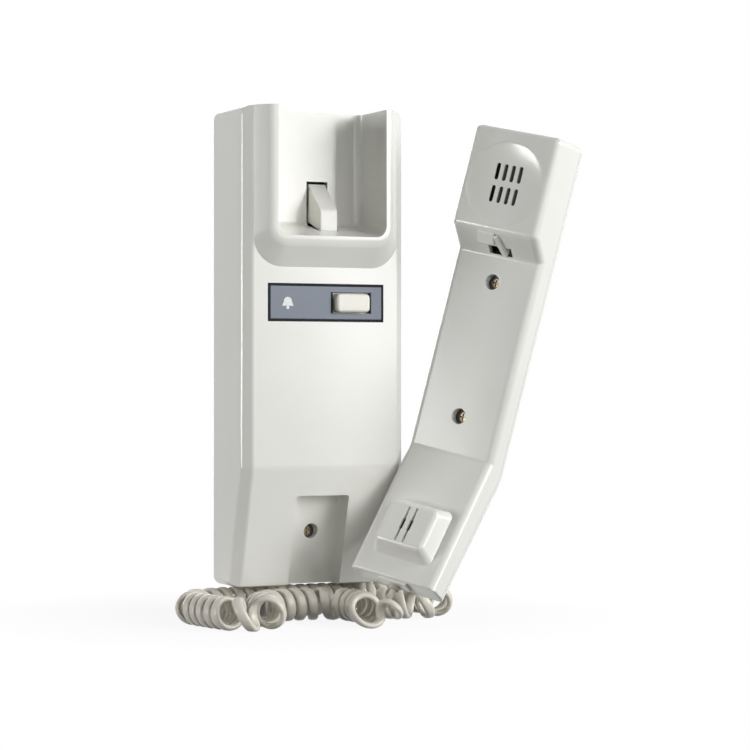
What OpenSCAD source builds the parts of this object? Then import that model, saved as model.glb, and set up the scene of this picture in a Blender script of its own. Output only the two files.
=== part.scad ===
// Wall intercom: a wall station with a cradle, a handset and the curly cord between them.
// X runs to the right, Y into the wall and Z up. The origin is the middle of the station's
// back face, which sits on the wall. Sizes are in millimetres.

/* [Wall station] */
// Width of the station
station_w = 80; // [72:1:96]
// Height of the station
station_h = 216; // [206:1:240]
// Distance of the flat front from the wall
station_d = 37; // [35:0.5:44]
// Thickness of the moulded walls
shell_t = 2.2; // [1.6:0.1:3]
// Bevel between the front and the sides
edge_bevel = 4; // [2:0.5:6]
// Radius of the corners seen from the front
corner_r = 4; // [2.5:0.5:8]
// Height of the lower part that leans back
slope_h = 54; // [48:1:62]
// How far the front leans back at the bottom
slope_back = 14; // [10:0.5:16]

/* [Cradle] */
// How far the rim stands out from the flat front
rim_out = 7.5; // [5:0.5:10]
// Width over the rim
rim_w = 60; // [58:1:64]
// Thickness of the rim
rim_t = 3.3; // [2.5:0.1:4]
// Width of the slanted flank beside the rim
flank_w = 5.6; // [4:0.2:5.8]
// Height of the slanted flank under the rim
flank_h = 10.5; // [8:0.5:12]
// Depth of the cradle from the rim to its back wall
cradle_deep = 27.5; // [24:0.5:29]
// Height of the cradle from its lip to the top of the station
cradle_h = 58; // [54:1:64]
// Rise of the cradle's floor from the lip to the back wall
floor_rise = 6.5; // [4:0.5:8]

/* [Mouthpiece pocket] */
// Width of the pocket in the lower slope
pocket_w = 26; // [24:1:30]
// Depth of the pocket
pocket_deep = 9; // [7:0.5:10]
// Length of the pocket up the slope
pocket_len = 42.5; // [38:0.5:46]

/* [Hook lever] */
// Width of the lever
hook_w = 8.6; // [7:0.2:11]
// Distance of the lever from the middle
hook_x = 4.5; // [-6:0.5:8]
// How far the lever stands into the cradle
hook_reach = 13; // [10:0.5:15]
// Height of the lever where it leaves the wall
hook_h = 17.6; // [16:0.2:19]
// Height of the lever's blunt end
hook_end_h = 10; // [7:0.5:11]
// Free space on each side of the lever
hook_gap = 1; // [0.6:0.1:1.6]
// Radius of the lever's pin
hook_pin_r = 1.25; // [1:0.05:1.5]

/* [Name plate] */
// Width of the plate
plate_w = 56; // [50:1:62]
// Height of the plate
plate_h = 15.8; // [14:0.2:19]
// Thickness of the plate
plate_t = 1.5; // [1:0.1:2]
// Height of the plate's middle over the middle of the station
plate_z = 20.3; // [10:0.1:24]
// Groove around the plate
plate_gap = 0.4; // [0.2:0.1:0.8]

/* [Call button] */
// Width of the button
button_w = 16.6; // [12:0.2:18]
// Height of the button
button_h = 8.4; // [6:0.2:9]
// Distance of the button from the middle
button_x = 12.4; // [8:0.2:15]
// How far the button stands out of the plate
button_out = 3; // [2.2:0.1:4]
// Travel of the button
button_travel = 1.8; // [1:0.1:2]
// Free space around the button in its window
button_gap = 0.5; // [0.3:0.1:0.8]
// Extra length of the window at both ends of the button
window_extra = 1.2; // [0:0.1:2]

/* [Wall fixing] */
// Thickness of the back plate
back_t = 2.5; // [2:0.1:3.5]
// Distance between the two fixing slots
fix_pitch = 83.5; // [80:0.5:90]
// Half width of a fixing slot
fix_r = 2.3; // [1.8:0.1:3]
// Length of a fixing slot
fix_len = 9; // [7:0.5:12]
// Radius of the hole for the house wires
wire_hole_r = 7; // [5:0.5:9]

/* [Handset] */
// Width of the handset
hs_w = 45; // [42:0.5:50]
// Wall of the handset's shells
hs_t = 2; // [1.6:0.1:2.6]
// Thickness of the straight handle
handle_t = 15.5; // [14.5:0.5:19]
// Length of the straight handle face
handle_len = 92.5; // [86:0.5:104]
// Bevel along the handle's front edges
handle_bevel = 3.6; // [2:0.1:5]
// Bevel along the handset's back edges
back_bevel = 4; // [2:0.5:6]
// How far the ear end stands out of the handle
ear_out = 11; // [9:0.5:14]
// Length of the flat ear face
ear_len = 46.6; // [45:0.2:54]
// Height of the slanted neck under the ear face
neck_h = 9.5; // [8:0.5:13]
// Bevel around the ear face
ear_bevel = 2; // [1:0.5:3]
// Depth of the back shell
back_shell_d = 5; // [4:0.5:6]
// Angle between the mouth end and the handle
mouth_angle = 22.5; // [16:0.5:28]
// Length of the mouth end
mouth_len = 64.5; // [60:0.5:72]
// Thickness of the mouth end at its tip
mouth_t = 14.4; // [13:0.2:17]
// Height of the mouthpiece over the mouth end's face
mouthpiece_h = 8; // [6:0.5:9]
// Width of the mouthpiece's top
mouthpiece_w = 24; // [21:0.5:25]
// Length of the mouthpiece's top
mouthpiece_len = 20.4; // [19:0.2:24]
// Slant of the mouthpiece's flanks
mouthpiece_flank = 3.6; // [2:0.2:4]
// Distance from the handle to the mouthpiece's middle
mouthpiece_at = 41; // [38:0.5:44]

/* [Earpiece] */
// Radius of the shallow dish
dish_r = 19.5; // [16:0.5:21]
// Depth of the dish
dish_deep = 1.2; // [0.8:0.1:1.6]
// Length of a sound slot
slot_len = 7.7; // [6:0.1:9]
// Width of a sound slot
slot_w = 2; // [1.2:0.1:2.4]
// Distance between sound slots
slot_pitch = 3.9; // [3:0.1:4.5]
// Distance between the two rows of slots
slot_rows = 10.3; // [9.5:0.1:12]
// Radius of the receiver
receiver_r = 17.5; // [15:0.5:18]

/* [Microphone] */
// Radius of the microphone capsule
mic_r = 4.85; // [3:0.05:5]
// Wall of the rubber boot around the capsule
mic_boot_t = 1.6; // [1:0.1:2]
// Length of a mouthpiece slot
mic_slot_len = 17; // [12:0.5:18]
// Width of a mouthpiece slot
mic_slot_w = 1.2; // [0.8:0.1:1.4]
// Distance between the two mouthpiece slots
mic_slot_pitch = 3.9; // [3:0.1:5]

/* [Screws] */
// Radius of the casing screws' heads
head_r = 2.9; // [2.6:0.1:3.2]
// Radius of the casing screws' shanks
shank_r = 1.4; // [1.2:0.1:1.6]
// Play of a head in its well
head_gap = 0.45; // [0.2:0.05:0.6]
// Wall of a screw well
well_t = 1.5; // [1.2:0.1:2]
// Distance between the handset's screws
hs_screw_pitch = 62.7; // [56:0.1:70]
// Distance from the neck to the handset's upper screw
hs_screw_top = 12.5; // [10:0.5:16]
// Depth of a screw head in the handset's face
hs_well_deep = 4; // [3:0.5:5]

/* [Curly cord] */
// Width of the flat cord
cord_w = 4.6; // [4:0.1:4.8]
// Thickness of the flat cord
cord_t = 2.6; // [2:0.1:3]
// Outer diameter of the curls
curl_d = 15; // [13:0.5:15]
// Free space between two curls
curl_gap = 0.85; // [0.7:0.05:1.2]

/* [Handset place] */
// Turn of the upright plane in which the handset leans
lean_heading = 26; // [20:1:32]
// Lean of the handset in that plane
lean_angle = 14; // [12:0.5:16]
// Turn of the handset about its own length
handset_turn = 31; // [28:1:34]

/* [Hidden] */

$fn = 48;
far = 250;
wide = 20;
bevel_step = 0.25;
half_w = station_w / 2;
half_h = station_h / 2;
seam_gap = 0.2;
fit_gap = 0.05;

// Lower slope
slope_angle = atan(slope_back / slope_h);
crease_z = -half_h + slope_h;

// Cradle
rim_y = -station_d - rim_out;
cradle_y = rim_y + cradle_deep;
lip_z = half_h - cradle_h;
floor_z = lip_z + floor_rise;
cradle_half = rim_w / 2 - rim_t;
boss_foot_z = lip_z - rim_t - flank_h;
boss_top_bevel = 1.6;
rim_corner_r = 8;
cradle_corner_r = 5;

// Hook lever: profile sizes in the plane across the pin
hook_end_y = cradle_y - hook_reach;
hook_play = 1.2;
hook_foot_z = floor_z + hook_play;
hook_top_z = floor_z + hook_h + hook_play;
hook_end_drop = 2;
hook_end_z = hook_foot_z - floor_rise * hook_reach / cradle_deep - hook_end_drop;
hook_pin_y = cradle_y + shell_t + 5.3;
hook_pin_z = hook_top_z - 3;
hook_hub_r = 3;
hook_bore_gap = 0.06;
hook_lug_t = 2.5;
hook_lug_gap = 0.4;
hook_tail_y = cradle_y + shell_t + 3.6;
hook_drop = 4.2;

// Hook switch: its plunger waits behind the lever's tail
plunger_r = 1.1;
plunger_z = hook_pin_z - 11.5;
plunger_gap = 0.3;
plunger_travel = 2;
plunger_len = 5;
plunger_x = hook_x + hook_w / 4;
tail_run = (plunger_z - hook_foot_z) / (hook_pin_z - hook_foot_z);
tail_y = hook_tail_y + (hook_pin_y + 1.5 - hook_tail_y) * tail_run;
switch_y = tail_y + plunger_gap + plunger_travel + 1.2;
hook_spring_x = hook_x - hook_w / 4;
hook_spring_r = 1.8;

// Circuit board
board_w = 64;
board_h = 62;
board_t = 1.6;
board_y = -back_t - 5.5;
board_front = board_y - board_t;
board_screw_x = 27;
board_screw_z = 26;
post_r = 3;
board_screw_r = 1.2;
board_head_r = 2.4;
board_head_h = 1.8;

// Call button and the switch behind it
button_z = plate_z;
button_r = 1.2;
seat_t = 1;
inner_y = -station_d + plate_t + seat_t;
flange_t = 1.2;
flange_over = 1.4;
button_play = 0.3;
switch_size = 12;
switch_h = 6;
switch_tip_h = 1.8;
switch_tip_r = 1.75;
press_gap = 0.4;
stem_r = 2.5;
stem_end = board_front - switch_h - switch_tip_h - press_gap - button_travel;
flange_y = inner_y + button_play;

// Terminal block
terminal_count = 5;
terminal_pitch = 7;
terminal_h = 9;
terminal_d = 10;
terminal_z = -20;
terminal_screw_r = 1.7;

// Buzzer and the small parts of the board
buzzer_r = 10;
buzzer_h = 7;
buzzer_x = -17;
part_pitch = 8;
small_z = -6;
capacitor_r = 2.6;
capacitor_h = 8;
chip_len = 12;
chip_w = 7;
chip_h = 3;
resistor_w = 2.2;
buzzer_z = 15;

// Cover screw in the mouthpiece pocket
cover_screw_z = -half_h + 24.4;
slope_y = -station_d + slope_back * (crease_z - cover_screw_z) / slope_h;
pocket_floor_y = slope_y + pocket_deep / cos(slope_angle);
well_r = head_r + head_gap;
cover_head_y = pocket_floor_y + 5;
head_h = 2;
well_floor = 1.6;
thread_len = 9;

// Cord exit under the station
boot_r = 2.6;
boot_len = 3;
boot_x = 26;
boot_y = -18.4;
lead_r = 1.6;

// Handset profile, in its own frame: X across, Y towards its back, Z along the handle
ear_top = neck_h + ear_len;
hs_half = hs_w / 2;
part_y = handle_t - back_shell_d;
ear_mid_z = neck_h + ear_len / 2 - 1.5;
back_bend_z = -handle_len - 7.5;
mouth_end_y = -mouth_len * sin(mouth_angle);
mouth_end_z = -handle_len - mouth_len * cos(mouth_angle);
tip_back = [mouth_end_y + mouth_t * cos(mouth_angle), mouth_end_z - mouth_t * sin(mouth_angle)];
back_run = [tip_back[0] - handle_t, tip_back[1] - back_bend_z];
back_dir = back_run / norm(back_run);
back_turn = atan2(-back_dir[0], -back_dir[1]);
part_shift = back_shell_d * tan(back_turn / 2);
part_bend = [part_y, back_bend_z + part_shift];
part_tip = part_bend + back_dir * (mouth_len + 20);
dish_sphere = (dish_r * dish_r + dish_deep * dish_deep) / (2 * dish_deep);
ear_wall = hs_t + 1;
ear_in = -ear_out + ear_wall;
gasket_t = 1;
gasket_w = 3;
receiver_h = 9;
magnet_r = 11;
magnet_h = 4;
seat_ring_t = 1.3;
seat_ring_h = 5;
slot_count = 4;
hook_pocket_w = 12;
hook_pocket_x = 1.5;
hook_pocket_deep = 6;
mic_wall = 1.6;
mic_h = 6;
mic_boot_h = 8.5;
mic_bore_r = mic_r + mic_boot_t + fit_gap;
hs_boot_y = 6.5;

// Handset pose
handset_at = [72.5, -66.5, 42];

// Curly cord: floor, and points along the middle of the curls
floor_level = -half_h - 15.75;
curl_r = (curl_d - cord_t) / 2;
cord_z = floor_level + curl_d / 2 + 0.05;
cord_route = [
    [25.5, -22.5, -117.5], [28.5, -31, -116.8], [36, -39, cord_z], [46, -43, cord_z], [55, -38.5, cord_z],
    [58.5, -28, cord_z], [55, -17, cord_z], [46, -10.5, cord_z], [32, -8, cord_z], [16, -8, cord_z],
    [0, -8, cord_z], [-20, -8, cord_z], [-40, -8, cord_z], [-53, -11.5, cord_z], [-59, -22, cord_z],
    [-58, -34, cord_z], [-56, -46, cord_z], [-52, -58, cord_z], [-43, -62, cord_z], [-35, -55, cord_z],
    [-34, -44, cord_z], [-31, -34.5, cord_z], [-23.5, -28.5, cord_z], [-11, -26.5, cord_z],
    [1, -27.5, cord_z], [9, -34, cord_z], [11, -45, cord_z], [10, -56, cord_z], [6, -65.5, cord_z],
    [8.5, -73, -117], [15, -73, -118.5], [19, -66.5, -117.5],
];
route_steps = 10;
cord_rings = 700;
cord_sides = 6;
tail_len = 11;
end_gap = 0.3;
bend_margin = 1.1;
grow_len = 13;

// Points of an arc around a centre
function arc(c, r, a0, a1, n = 6) =
    [for (i = [0:n]) c + r * [cos(a0 + (a1 - a0) * i / n), sin(a0 + (a1 - a0) * i / n)]];

// Outline of a rectangle with round corners
function round_rect(w, h, r) = concat(
    arc([w / 2 - r, h / 2 - r], r, 0, 90), arc([r - w / 2, h / 2 - r], r, 90, 180),
    arc([r - w / 2, r - h / 2], r, 180, 270), arc([w / 2 - r, r - h / 2], r, 270, 360));

// Outline whose front edge, at Y = front, has 45 degree bevels of size b at both ends
function bevelled(half, front, b) = [
    [-half - wide, front + b + wide], [b - half, front], [half - b, front],
    [half + wide, front + b + wide], [half + wide, far], [-half - wide, far]];

// A Y-Z outline drawn out along X
module across(points, w, x = 0) {
    translate([x - w / 2, 0, 0])
        rotate([90, 0, 90])
            linear_extrude(w)
                polygon(points);
}

// An X-Z outline drawn out from y0 towards the front
module frontwards(points, y0, len) {
    translate([0, y0, 0])
        rotate([90, 0, 0])
            linear_extrude(len)
                polygon(points);
}

// A round bar along Y from y0 to y1
module bar_y(r, y0, y1, x = 0, z = 0) {
    translate([x, y1, z])
        rotate([90, 0, 0])
            cylinder(r = r, h = y1 - y0);
}

// A box between two corners
module block(low, high) {
    translate(low)
        cube(high - low);
}

// A chain of round rods through points, for wires
module wire(points, r) {
    for (i = [0:len(points) - 2]) {
        run = points[i + 1] - points[i];
        translate(points[i])
            rotate([0, acos(run[2] / norm(run)), atan2(run[1], run[0])])
                cylinder(r = r, h = norm(run), $fn = 24);
        if (i > 0)
            translate(points[i])
                sphere(r = r * 1.08, $fn = 24);
    }
}

// A helical spring along Y from y0 to y1
module coil_spring(r, wire_r, turns, y0, y1) {
    rings = turns * 10;
    sides = 6;
    points = [for (i = [0:rings], k = [0:sides - 1])
        let (a = 360 * turns * i / rings, b = 360 * k / sides,
             y = y0 + wire_r + (y1 - y0 - 2 * wire_r) * i / rings)
        [(r + wire_r * cos(b)) * cos(a), y + wire_r * sin(b), (r + wire_r * cos(b)) * sin(a)]];
    polyhedron(points, tube_faces(rings, sides), convexity = 10);
}

// Triangles of a closed tube with rings of the given number of sides
function tube_faces(rings, sides) = concat(
    [for (k = [1:sides - 2]) [0, k, k + 1]],
    [for (i = [0:rings - 1], k = [0:sides - 1]) let (n = (k + 1) % sides)
        [i * sides + k, (i + 1) * sides + k, (i + 1) * sides + n]],
    [for (i = [0:rings - 1], k = [0:sides - 1]) let (n = (k + 1) % sides)
        [i * sides + k, (i + 1) * sides + n, i * sides + n]],
    [for (k = [1:sides - 2]) let (b = rings * sides) [b, b + k + 1, b + k]]);

// A cross-head screw whose head starts at y0 and whose shank runs towards the back
module screw(hr, hh, sr, sl) {
    cross = hr * 1.1;
    cross_w = hr * 0.26;
    difference() {
        union() {
            bar_y(hr, 0, hh);
            bar_y(sr, hh, hh + sl);
        }
        block([-cross / 2, -1, -cross_w / 2], [cross / 2, hh * 0.55, cross_w / 2]);
        block([-cross_w / 2, -1, -cross / 2], [cross_w / 2, hh * 0.55, cross / 2]);
    }
}

// Station form

// A bevel that keeps its look when the form is moved inwards by t
function inner_bevel(b, t) = max(b + t * (tan(22.5) - 1), 0.2);

// The station's outer form, moved inwards by t
module station_form(t, back) {
    bevel = inner_bevel(edge_bevel, t);
    intersection() {
        frontwards(round_rect(station_w - 2 * t, station_h - 2 * t, max(corner_r - t, 0.5)),
            back, station_d + wide);
        translate([0, 0, -far])
            linear_extrude(2 * far)
                polygon(bevelled(half_w - t, -station_d + t, bevel));
        translate([0, -station_d, crease_z])
            rotate([slope_angle, 0, 0])
                translate([0, station_d, -far])
                    linear_extrude(2 * far)
                        polygon(bevelled(half_w - t, -station_d + t, bevel + bevel_step));
    }
}

// The raised frame around the cradle, with round lower corners
module cradle_boss() {
    foot = rim_w / 2 + flank_w;
    foot_h = half_h - boss_foot_z;
    intersection() {
        hull() {
            translate([0, 0, half_h + wide - (foot_h + wide) / 2])
                frontwards(round_rect(2 * foot, foot_h + wide, rim_corner_r + flank_w),
                    -station_d + edge_bevel, edge_bevel);
            translate([0, 0, half_h + wide - (foot_h - flank_h + wide) / 2])
                frontwards(round_rect(rim_w, foot_h - flank_h + wide, rim_corner_r), rim_y + 0.5, 0.5);
        }
        across([[-station_d + edge_bevel + 1, 0], [-far, 0], [-far, half_h - boss_top_bevel - rim_y - far],
            [rim_y, half_h - boss_top_bevel], [rim_y + boss_top_bevel, half_h],
            [-station_d + edge_bevel + 1, half_h]], far);
    }
}

// The cradle's hollow, widened by t: its floor falls towards the lip and its corners are round
module cradle_hollow(t) {
    w = 2 * (cradle_half + t);
    intersection() {
        translate([0, cradle_y, floor_z])
            rotate([atan(floor_rise / cradle_deep), 0, 0])
                translate([0, 0, far / 2 - t])
                    frontwards(round_rect(w, far, cradle_corner_r + t), far / 2, far);
        block([-w, -far, 0], [w, cradle_y + t, far]);
    }
}

// The pocket for the mouthpiece, widened by t
module mouth_pocket(t) {
    top = -(slope_h / cos(slope_angle) - pocket_len);
    translate([0, -station_d, crease_z])
        rotate([slope_angle, 0, 0])
            block([-pocket_w / 2 - t, -far, -far], [pocket_w / 2 + t, pocket_deep + t, top + t]);
}

// Slot in the cradle's wall and floor for the lever
module hook_slot() {
    w = hook_w + 2 * hook_gap;
    across([[cradle_y + shell_t + 1, floor_z - shell_t - 1], [cradle_y + shell_t + 1, hook_top_z + 1.2],
        [cradle_y - 0.5, hook_top_z + 1.2], [hook_end_y - 0.8, floor_z],
        [hook_end_y - 0.8, lip_z - hook_drop - 3], [cradle_y, lip_z - hook_drop - 3]], w, hook_x);
}

module front_cover() {
    color("ivory")
    difference() {
        union() {
            difference() {
                union() {
                    station_form(0, 0);
                    cradle_boss();
                }
                difference() {
                    station_form(shell_t, 1);
                    cradle_hollow(shell_t);
                    mouth_pocket(shell_t);
                }
            }
            // Seat behind the name plate
            block([-plate_w / 2 - 3, -station_d + 1, plate_z - plate_h / 2 - 3],
                [plate_w / 2 + 3, inner_y, plate_z + plate_h / 2 + 3]);
            // Well of the cover screw
            bar_y(well_r + well_t, pocket_floor_y - 1, cover_head_y + head_h + well_floor, 0, cover_screw_z);
        }
        cradle_hollow(0);
        mouth_pocket(0);
        hook_slot();
        // Bed of the name plate and window of the button
        block([-plate_w / 2 - plate_gap, -station_d - 1, plate_z - plate_h / 2 - plate_gap],
            [plate_w / 2 + plate_gap, -station_d + plate_t, plate_z + plate_h / 2 + plate_gap]);
        translate([button_x, 0, button_z])
            frontwards(round_rect(button_w + 2 * button_gap, button_h + 2 * button_gap, button_r),
                inner_y + 1, far);
        bar_y(well_r, -far, cover_head_y + head_h, 0, cover_screw_z);
        bar_y(shank_r + 0.3, -far, 0, 0, cover_screw_z);
        // Hole of the cord boot in the bottom wall
        translate([boot_x, boot_y, -half_h - 1])
            cylinder(r = boot_r + fit_gap, h = shell_t + 3);
    }
}

module back_plate() {
    inset = shell_t + seam_gap;
    lug_x = hook_w / 2 + hook_lug_gap;
    color("gainsboro")
    difference() {
        union() {
            frontwards(round_rect(station_w - 2 * inset, station_h - 2 * inset, max(corner_r - inset, 0.8)),
                0, back_t);
            for (x = [-1, 1], z = [-1, 1])
                bar_y(post_r, board_y, -back_t, x * board_screw_x, z * board_screw_z);
            bar_y(well_r + 0.8, cover_head_y + head_h + well_floor, -back_t, 0, cover_screw_z);
            // Lugs that carry the lever's pin
            for (side = [-1, 1])
                translate([hook_x + side * (lug_x + hook_lug_t / 2), 0, 0])
                    across([[-back_t / 2, hook_pin_z - 6], [hook_pin_y - 3, hook_pin_z - 2.6],
                        [hook_pin_y - 3, hook_pin_z + 2.6], [-back_t / 2, hook_pin_z + 4]], hook_lug_t);
        }
        // Fixing slots
        for (side = [-1, 1])
            translate([0, 0, side * fix_pitch / 2]) {
                for (end = [-1, 1])
                    bar_y(fix_r, -back_t - 1, 1, 0, end * (fix_len / 2 - fix_r));
                block([-fix_r, -back_t - 1, fix_r - fix_len / 2], [fix_r, 1, fix_len / 2 - fix_r]);
            }
        bar_y(wire_hole_r, -back_t - 1, 1, 0, crease_z - 9);
        for (x = [-1, 1], z = [-1, 1])
            bar_y(board_screw_r + fit_gap, board_y - 1, 1, x * board_screw_x, z * board_screw_z);
        bar_y(shank_r + fit_gap, -far, 1, 0, cover_screw_z);
        translate([hook_x - far / 2, hook_pin_y, hook_pin_z])
            rotate([0, 90, 0])
                cylinder(r = hook_pin_r, h = far);
    }
}

module name_plate() {
    color("slategray")
    difference() {
        translate([0, 0, plate_z])
            frontwards(round_rect(plate_w, plate_h, 0.6), -station_d + plate_t, plate_t);
        translate([button_x, 0, button_z])
            frontwards(round_rect(button_w + 2 * (button_gap + window_extra), button_h + 2 * button_gap, button_r),
                0, far);
    }
}

module call_button() {
    color("linen")
    translate([button_x, 0, button_z]) {
        frontwards(round_rect(button_w, button_h, button_r - 0.2), flange_y, flange_y + station_d + button_out);
        frontwards(round_rect(button_w + 2 * (button_gap + flange_over), button_h + 2 * (button_gap + flange_over),
            button_r), flange_y + flange_t, flange_t);
        bar_y(stem_r, flange_y, stem_end);
    }
}

module button_spring() {
    color("silver")
    translate([button_x, 0, button_z])
        coil_spring(stem_r + 1.1, 0.35, 7, flange_y + flange_t + 0.05, board_front - switch_h - 0.05);
}

module call_switch() {
    color("dimgray")
    translate([button_x, 0, button_z]) {
        block([-switch_size / 2, board_front - switch_h, -switch_size / 2],
            [switch_size / 2, board_front, switch_size / 2]);
        bar_y(switch_tip_r, board_front - switch_h - switch_tip_h, board_front - switch_h + 0.5);
    }
}

module hook_lever() {
    color("ivory")
    difference() {
        union() {
            across([[hook_pin_y, hook_top_z], [cradle_y, hook_top_z], [hook_end_y, hook_end_z + hook_end_h],
                [hook_end_y, hook_end_z], [cradle_y, hook_foot_z], [hook_tail_y, hook_foot_z],
                [hook_pin_y + 1.5, hook_pin_z]], hook_w, hook_x);
            translate([hook_x - hook_w / 2, hook_pin_y, hook_pin_z])
                rotate([0, 90, 0])
                    cylinder(r = hook_hub_r, h = hook_w);
        }
        translate([hook_x - hook_w, hook_pin_y, hook_pin_z])
            rotate([0, 90, 0])
                cylinder(r = hook_pin_r + hook_bore_gap, h = 2 * hook_w);
    }
}

module hook_pin() {
    reach = hook_w / 2 + hook_lug_gap + hook_lug_t;
    color("silver")
    translate([hook_x - reach, hook_pin_y, hook_pin_z])
        rotate([0, 90, 0])
            cylinder(r = hook_pin_r, h = 2 * reach);
}

module hook_spring() {
    color("silver")
    translate([hook_spring_x, 0, plunger_z])
        coil_spring(hook_spring_r, 0.3, 5, tail_y + 0.5, -back_t - 0.05);
}

module hook_switch() {
    color("dimgray")
    difference() {
        block([plunger_x - plunger_r - 0.9, switch_y, plunger_z - 4], [plunger_x + 6, -back_t, plunger_z + 4]);
        bar_y(plunger_r + hook_bore_gap, switch_y - 1, -back_t - 0.4, plunger_x, plunger_z);
    }
}

module switch_plunger() {
    color("firebrick")
    bar_y(plunger_r, tail_y + plunger_gap, tail_y + plunger_gap + plunger_len, plunger_x, plunger_z);
}

module circuit_board() {
    color("seagreen")
    difference() {
        block([-board_w / 2, board_front, -board_h / 2], [board_w / 2, board_y, board_h / 2]);
        for (x = [-1, 1], z = [-1, 1])
            bar_y(board_screw_r + 0.3, -far, 0, x * board_screw_x, z * board_screw_z);
    }
}

module board_components() {
    color("black")
    for (i = [-1:1])
        bar_y(capacitor_r, board_front - capacitor_h, board_front, i * part_pitch, small_z);
    color("dimgray")
    block([2 * part_pitch, board_front - chip_h, small_z - chip_w / 2],
        [2 * part_pitch + chip_len, board_front, small_z + chip_w / 2]);
    color("tan")
    for (i = [0:3])
        block([(i / 2 - 3.5) * part_pitch, board_front - resistor_w, small_z - chip_w / 2],
            [(i / 2 - 3.5) * part_pitch + resistor_w, board_front, small_z + chip_w / 2]);
}

module board_screws() {
    color("silver")
    for (x = [-1, 1], z = [-1, 1])
        translate([x * board_screw_x, board_front - board_head_h, z * board_screw_z])
            screw(board_head_r, board_head_h, board_screw_r, board_t + 4.5);
}

// Places of the terminals along X
function terminal_x(i) = (i - (terminal_count - 1) / 2) * terminal_pitch;

module terminal_block() {
    half = terminal_count * terminal_pitch / 2;
    color("darkslategray")
    difference() {
        block([-half, board_front - terminal_d, terminal_z - terminal_h / 2],
            [half, board_front, terminal_z + terminal_h / 2]);
        for (i = [0:terminal_count - 1]) {
            bar_y(terminal_screw_r + 0.2, -far, board_front - terminal_d + 4, terminal_x(i), terminal_z);
            translate([terminal_x(i), board_front - 3.2, terminal_z - terminal_h])
                cylinder(r = 1.5, h = terminal_h);
        }
    }
}

module terminal_screws() {
    color("silver")
    for (i = [0:terminal_count - 1])
        translate([terminal_x(i), board_front - terminal_d + 0.6, terminal_z])
            difference() {
                bar_y(terminal_screw_r, 0, 3.4);
                block([-terminal_screw_r, -1, -0.3], [terminal_screw_r, 1, 0.3]);
            }
}

module tone_buzzer() {
    color("black")
    difference() {
        bar_y(buzzer_r, board_front - buzzer_h, board_front, buzzer_x, buzzer_z);
        bar_y(1.5, -far, board_front - buzzer_h + 2, buzzer_x, buzzer_z);
    }
}

module cover_screw() {
    color("silver")
    translate([0, cover_head_y, cover_screw_z])
        screw(head_r, head_h, shank_r, well_floor + thread_len);
}

module base_lead() {
    top = -half_h + shell_t + 3.2;
    color("tan")
    wire([[boot_x, boot_y, top], [boot_x, boot_y, top + 4], [boot_x + 3, -11, top + 14],
        [boot_x + 3, -11, -board_h / 2 - 8], [boot_x - 3, board_front - lead_r - 0.4, -board_h / 2 - 2],
        [boot_x - 4, board_front - lead_r - 0.4, -board_h / 2 + 2]], lead_r);
}

module base_cord_boot() {
    color("lightgray")
    translate([boot_x, boot_y, -half_h - boot_len])
        cylinder(r = boot_r, h = boot_len + shell_t + 3);
}

// Handset frame

// Turn of a point about an axis
function turn_x(p, a) = [p[0], p[1] * cos(a) - p[2] * sin(a), p[1] * sin(a) + p[2] * cos(a)];
function turn_y(p, a) = [p[0] * cos(a) + p[2] * sin(a), p[1], p[2] * cos(a) - p[0] * sin(a)];
function turn_z(p, a) = [p[0] * cos(a) - p[1] * sin(a), p[0] * sin(a) + p[1] * cos(a), p[2]];

// From the handset's frame, or from the mouth end's frame, to the station's
function hs_turn(p) = turn_z(turn_y(turn_z(p, -handset_turn), lean_angle), -lean_heading);
function mouth_point(p) = handset_at + hs_turn(turn_x(p, -mouth_angle) + [0, 0, -handle_len]);
function mouth_turn(p) = hs_turn(turn_x(p, -mouth_angle));

module at_handset() {
    translate(handset_at)
        rotate([0, 0, -lean_heading])
            rotate([0, lean_angle, 0])
                rotate([0, 0, -handset_turn])
                    children();
}

// The mouth end's frame: Z up along its face, Y towards its back, from the bend
module at_mouth() {
    translate([0, 0, -handle_len])
        rotate([-mouth_angle, 0, 0])
            children();
}

// A point of the mouth end's side view, as [Y, Z] in the handset's frame
function mouth_side(y, z) = [
    y * cos(mouth_angle) + z * sin(mouth_angle), -handle_len - y * sin(mouth_angle) + z * cos(mouth_angle)];

// Side outline of the whole handset, moved inwards by t
function handset_side(t) =
    let (bb = inner_bevel(back_bevel, t), eb = inner_bevel(ear_bevel, t),
         neck = t * tan(atan(ear_out / neck_h) / 2),
         line = [handle_t, back_bend_z] + t * [back_dir[1], -back_dir[0]],
         up = [sin(mouth_angle), cos(mouth_angle)],
         tip = line + back_dir * (t - mouth_len - (line - [0, -handle_len]) * up) / (back_dir * up))
    [[-ear_out + t, ear_top - t - eb], [-ear_out + t + eb, ear_top - t], [handle_t - t - bb, ear_top - t],
     [handle_t - t, ear_top - t - bb], [handle_t - t, back_bend_z + t * tan(back_turn / 2)], tip,
     mouth_side(t, t - mouth_len), [t, -handle_len - t * tan(mouth_angle / 2)], [t, neck],
     [-ear_out + t, neck_h + neck]];

// A bevel of size b along both front edges of a face at Y = y, from z0 to z1
module edge_cut(half, y, b, z0, z1) {
    for (side = [-1, 1])
        translate([0, 0, z0])
            linear_extrude(z1 - z0)
                polygon([
                    [side * (half + 1), y - 1], [side * (half + 1), y + b + 1], [side * (half - b - 1), y - 1]
                ]);
}

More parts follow.
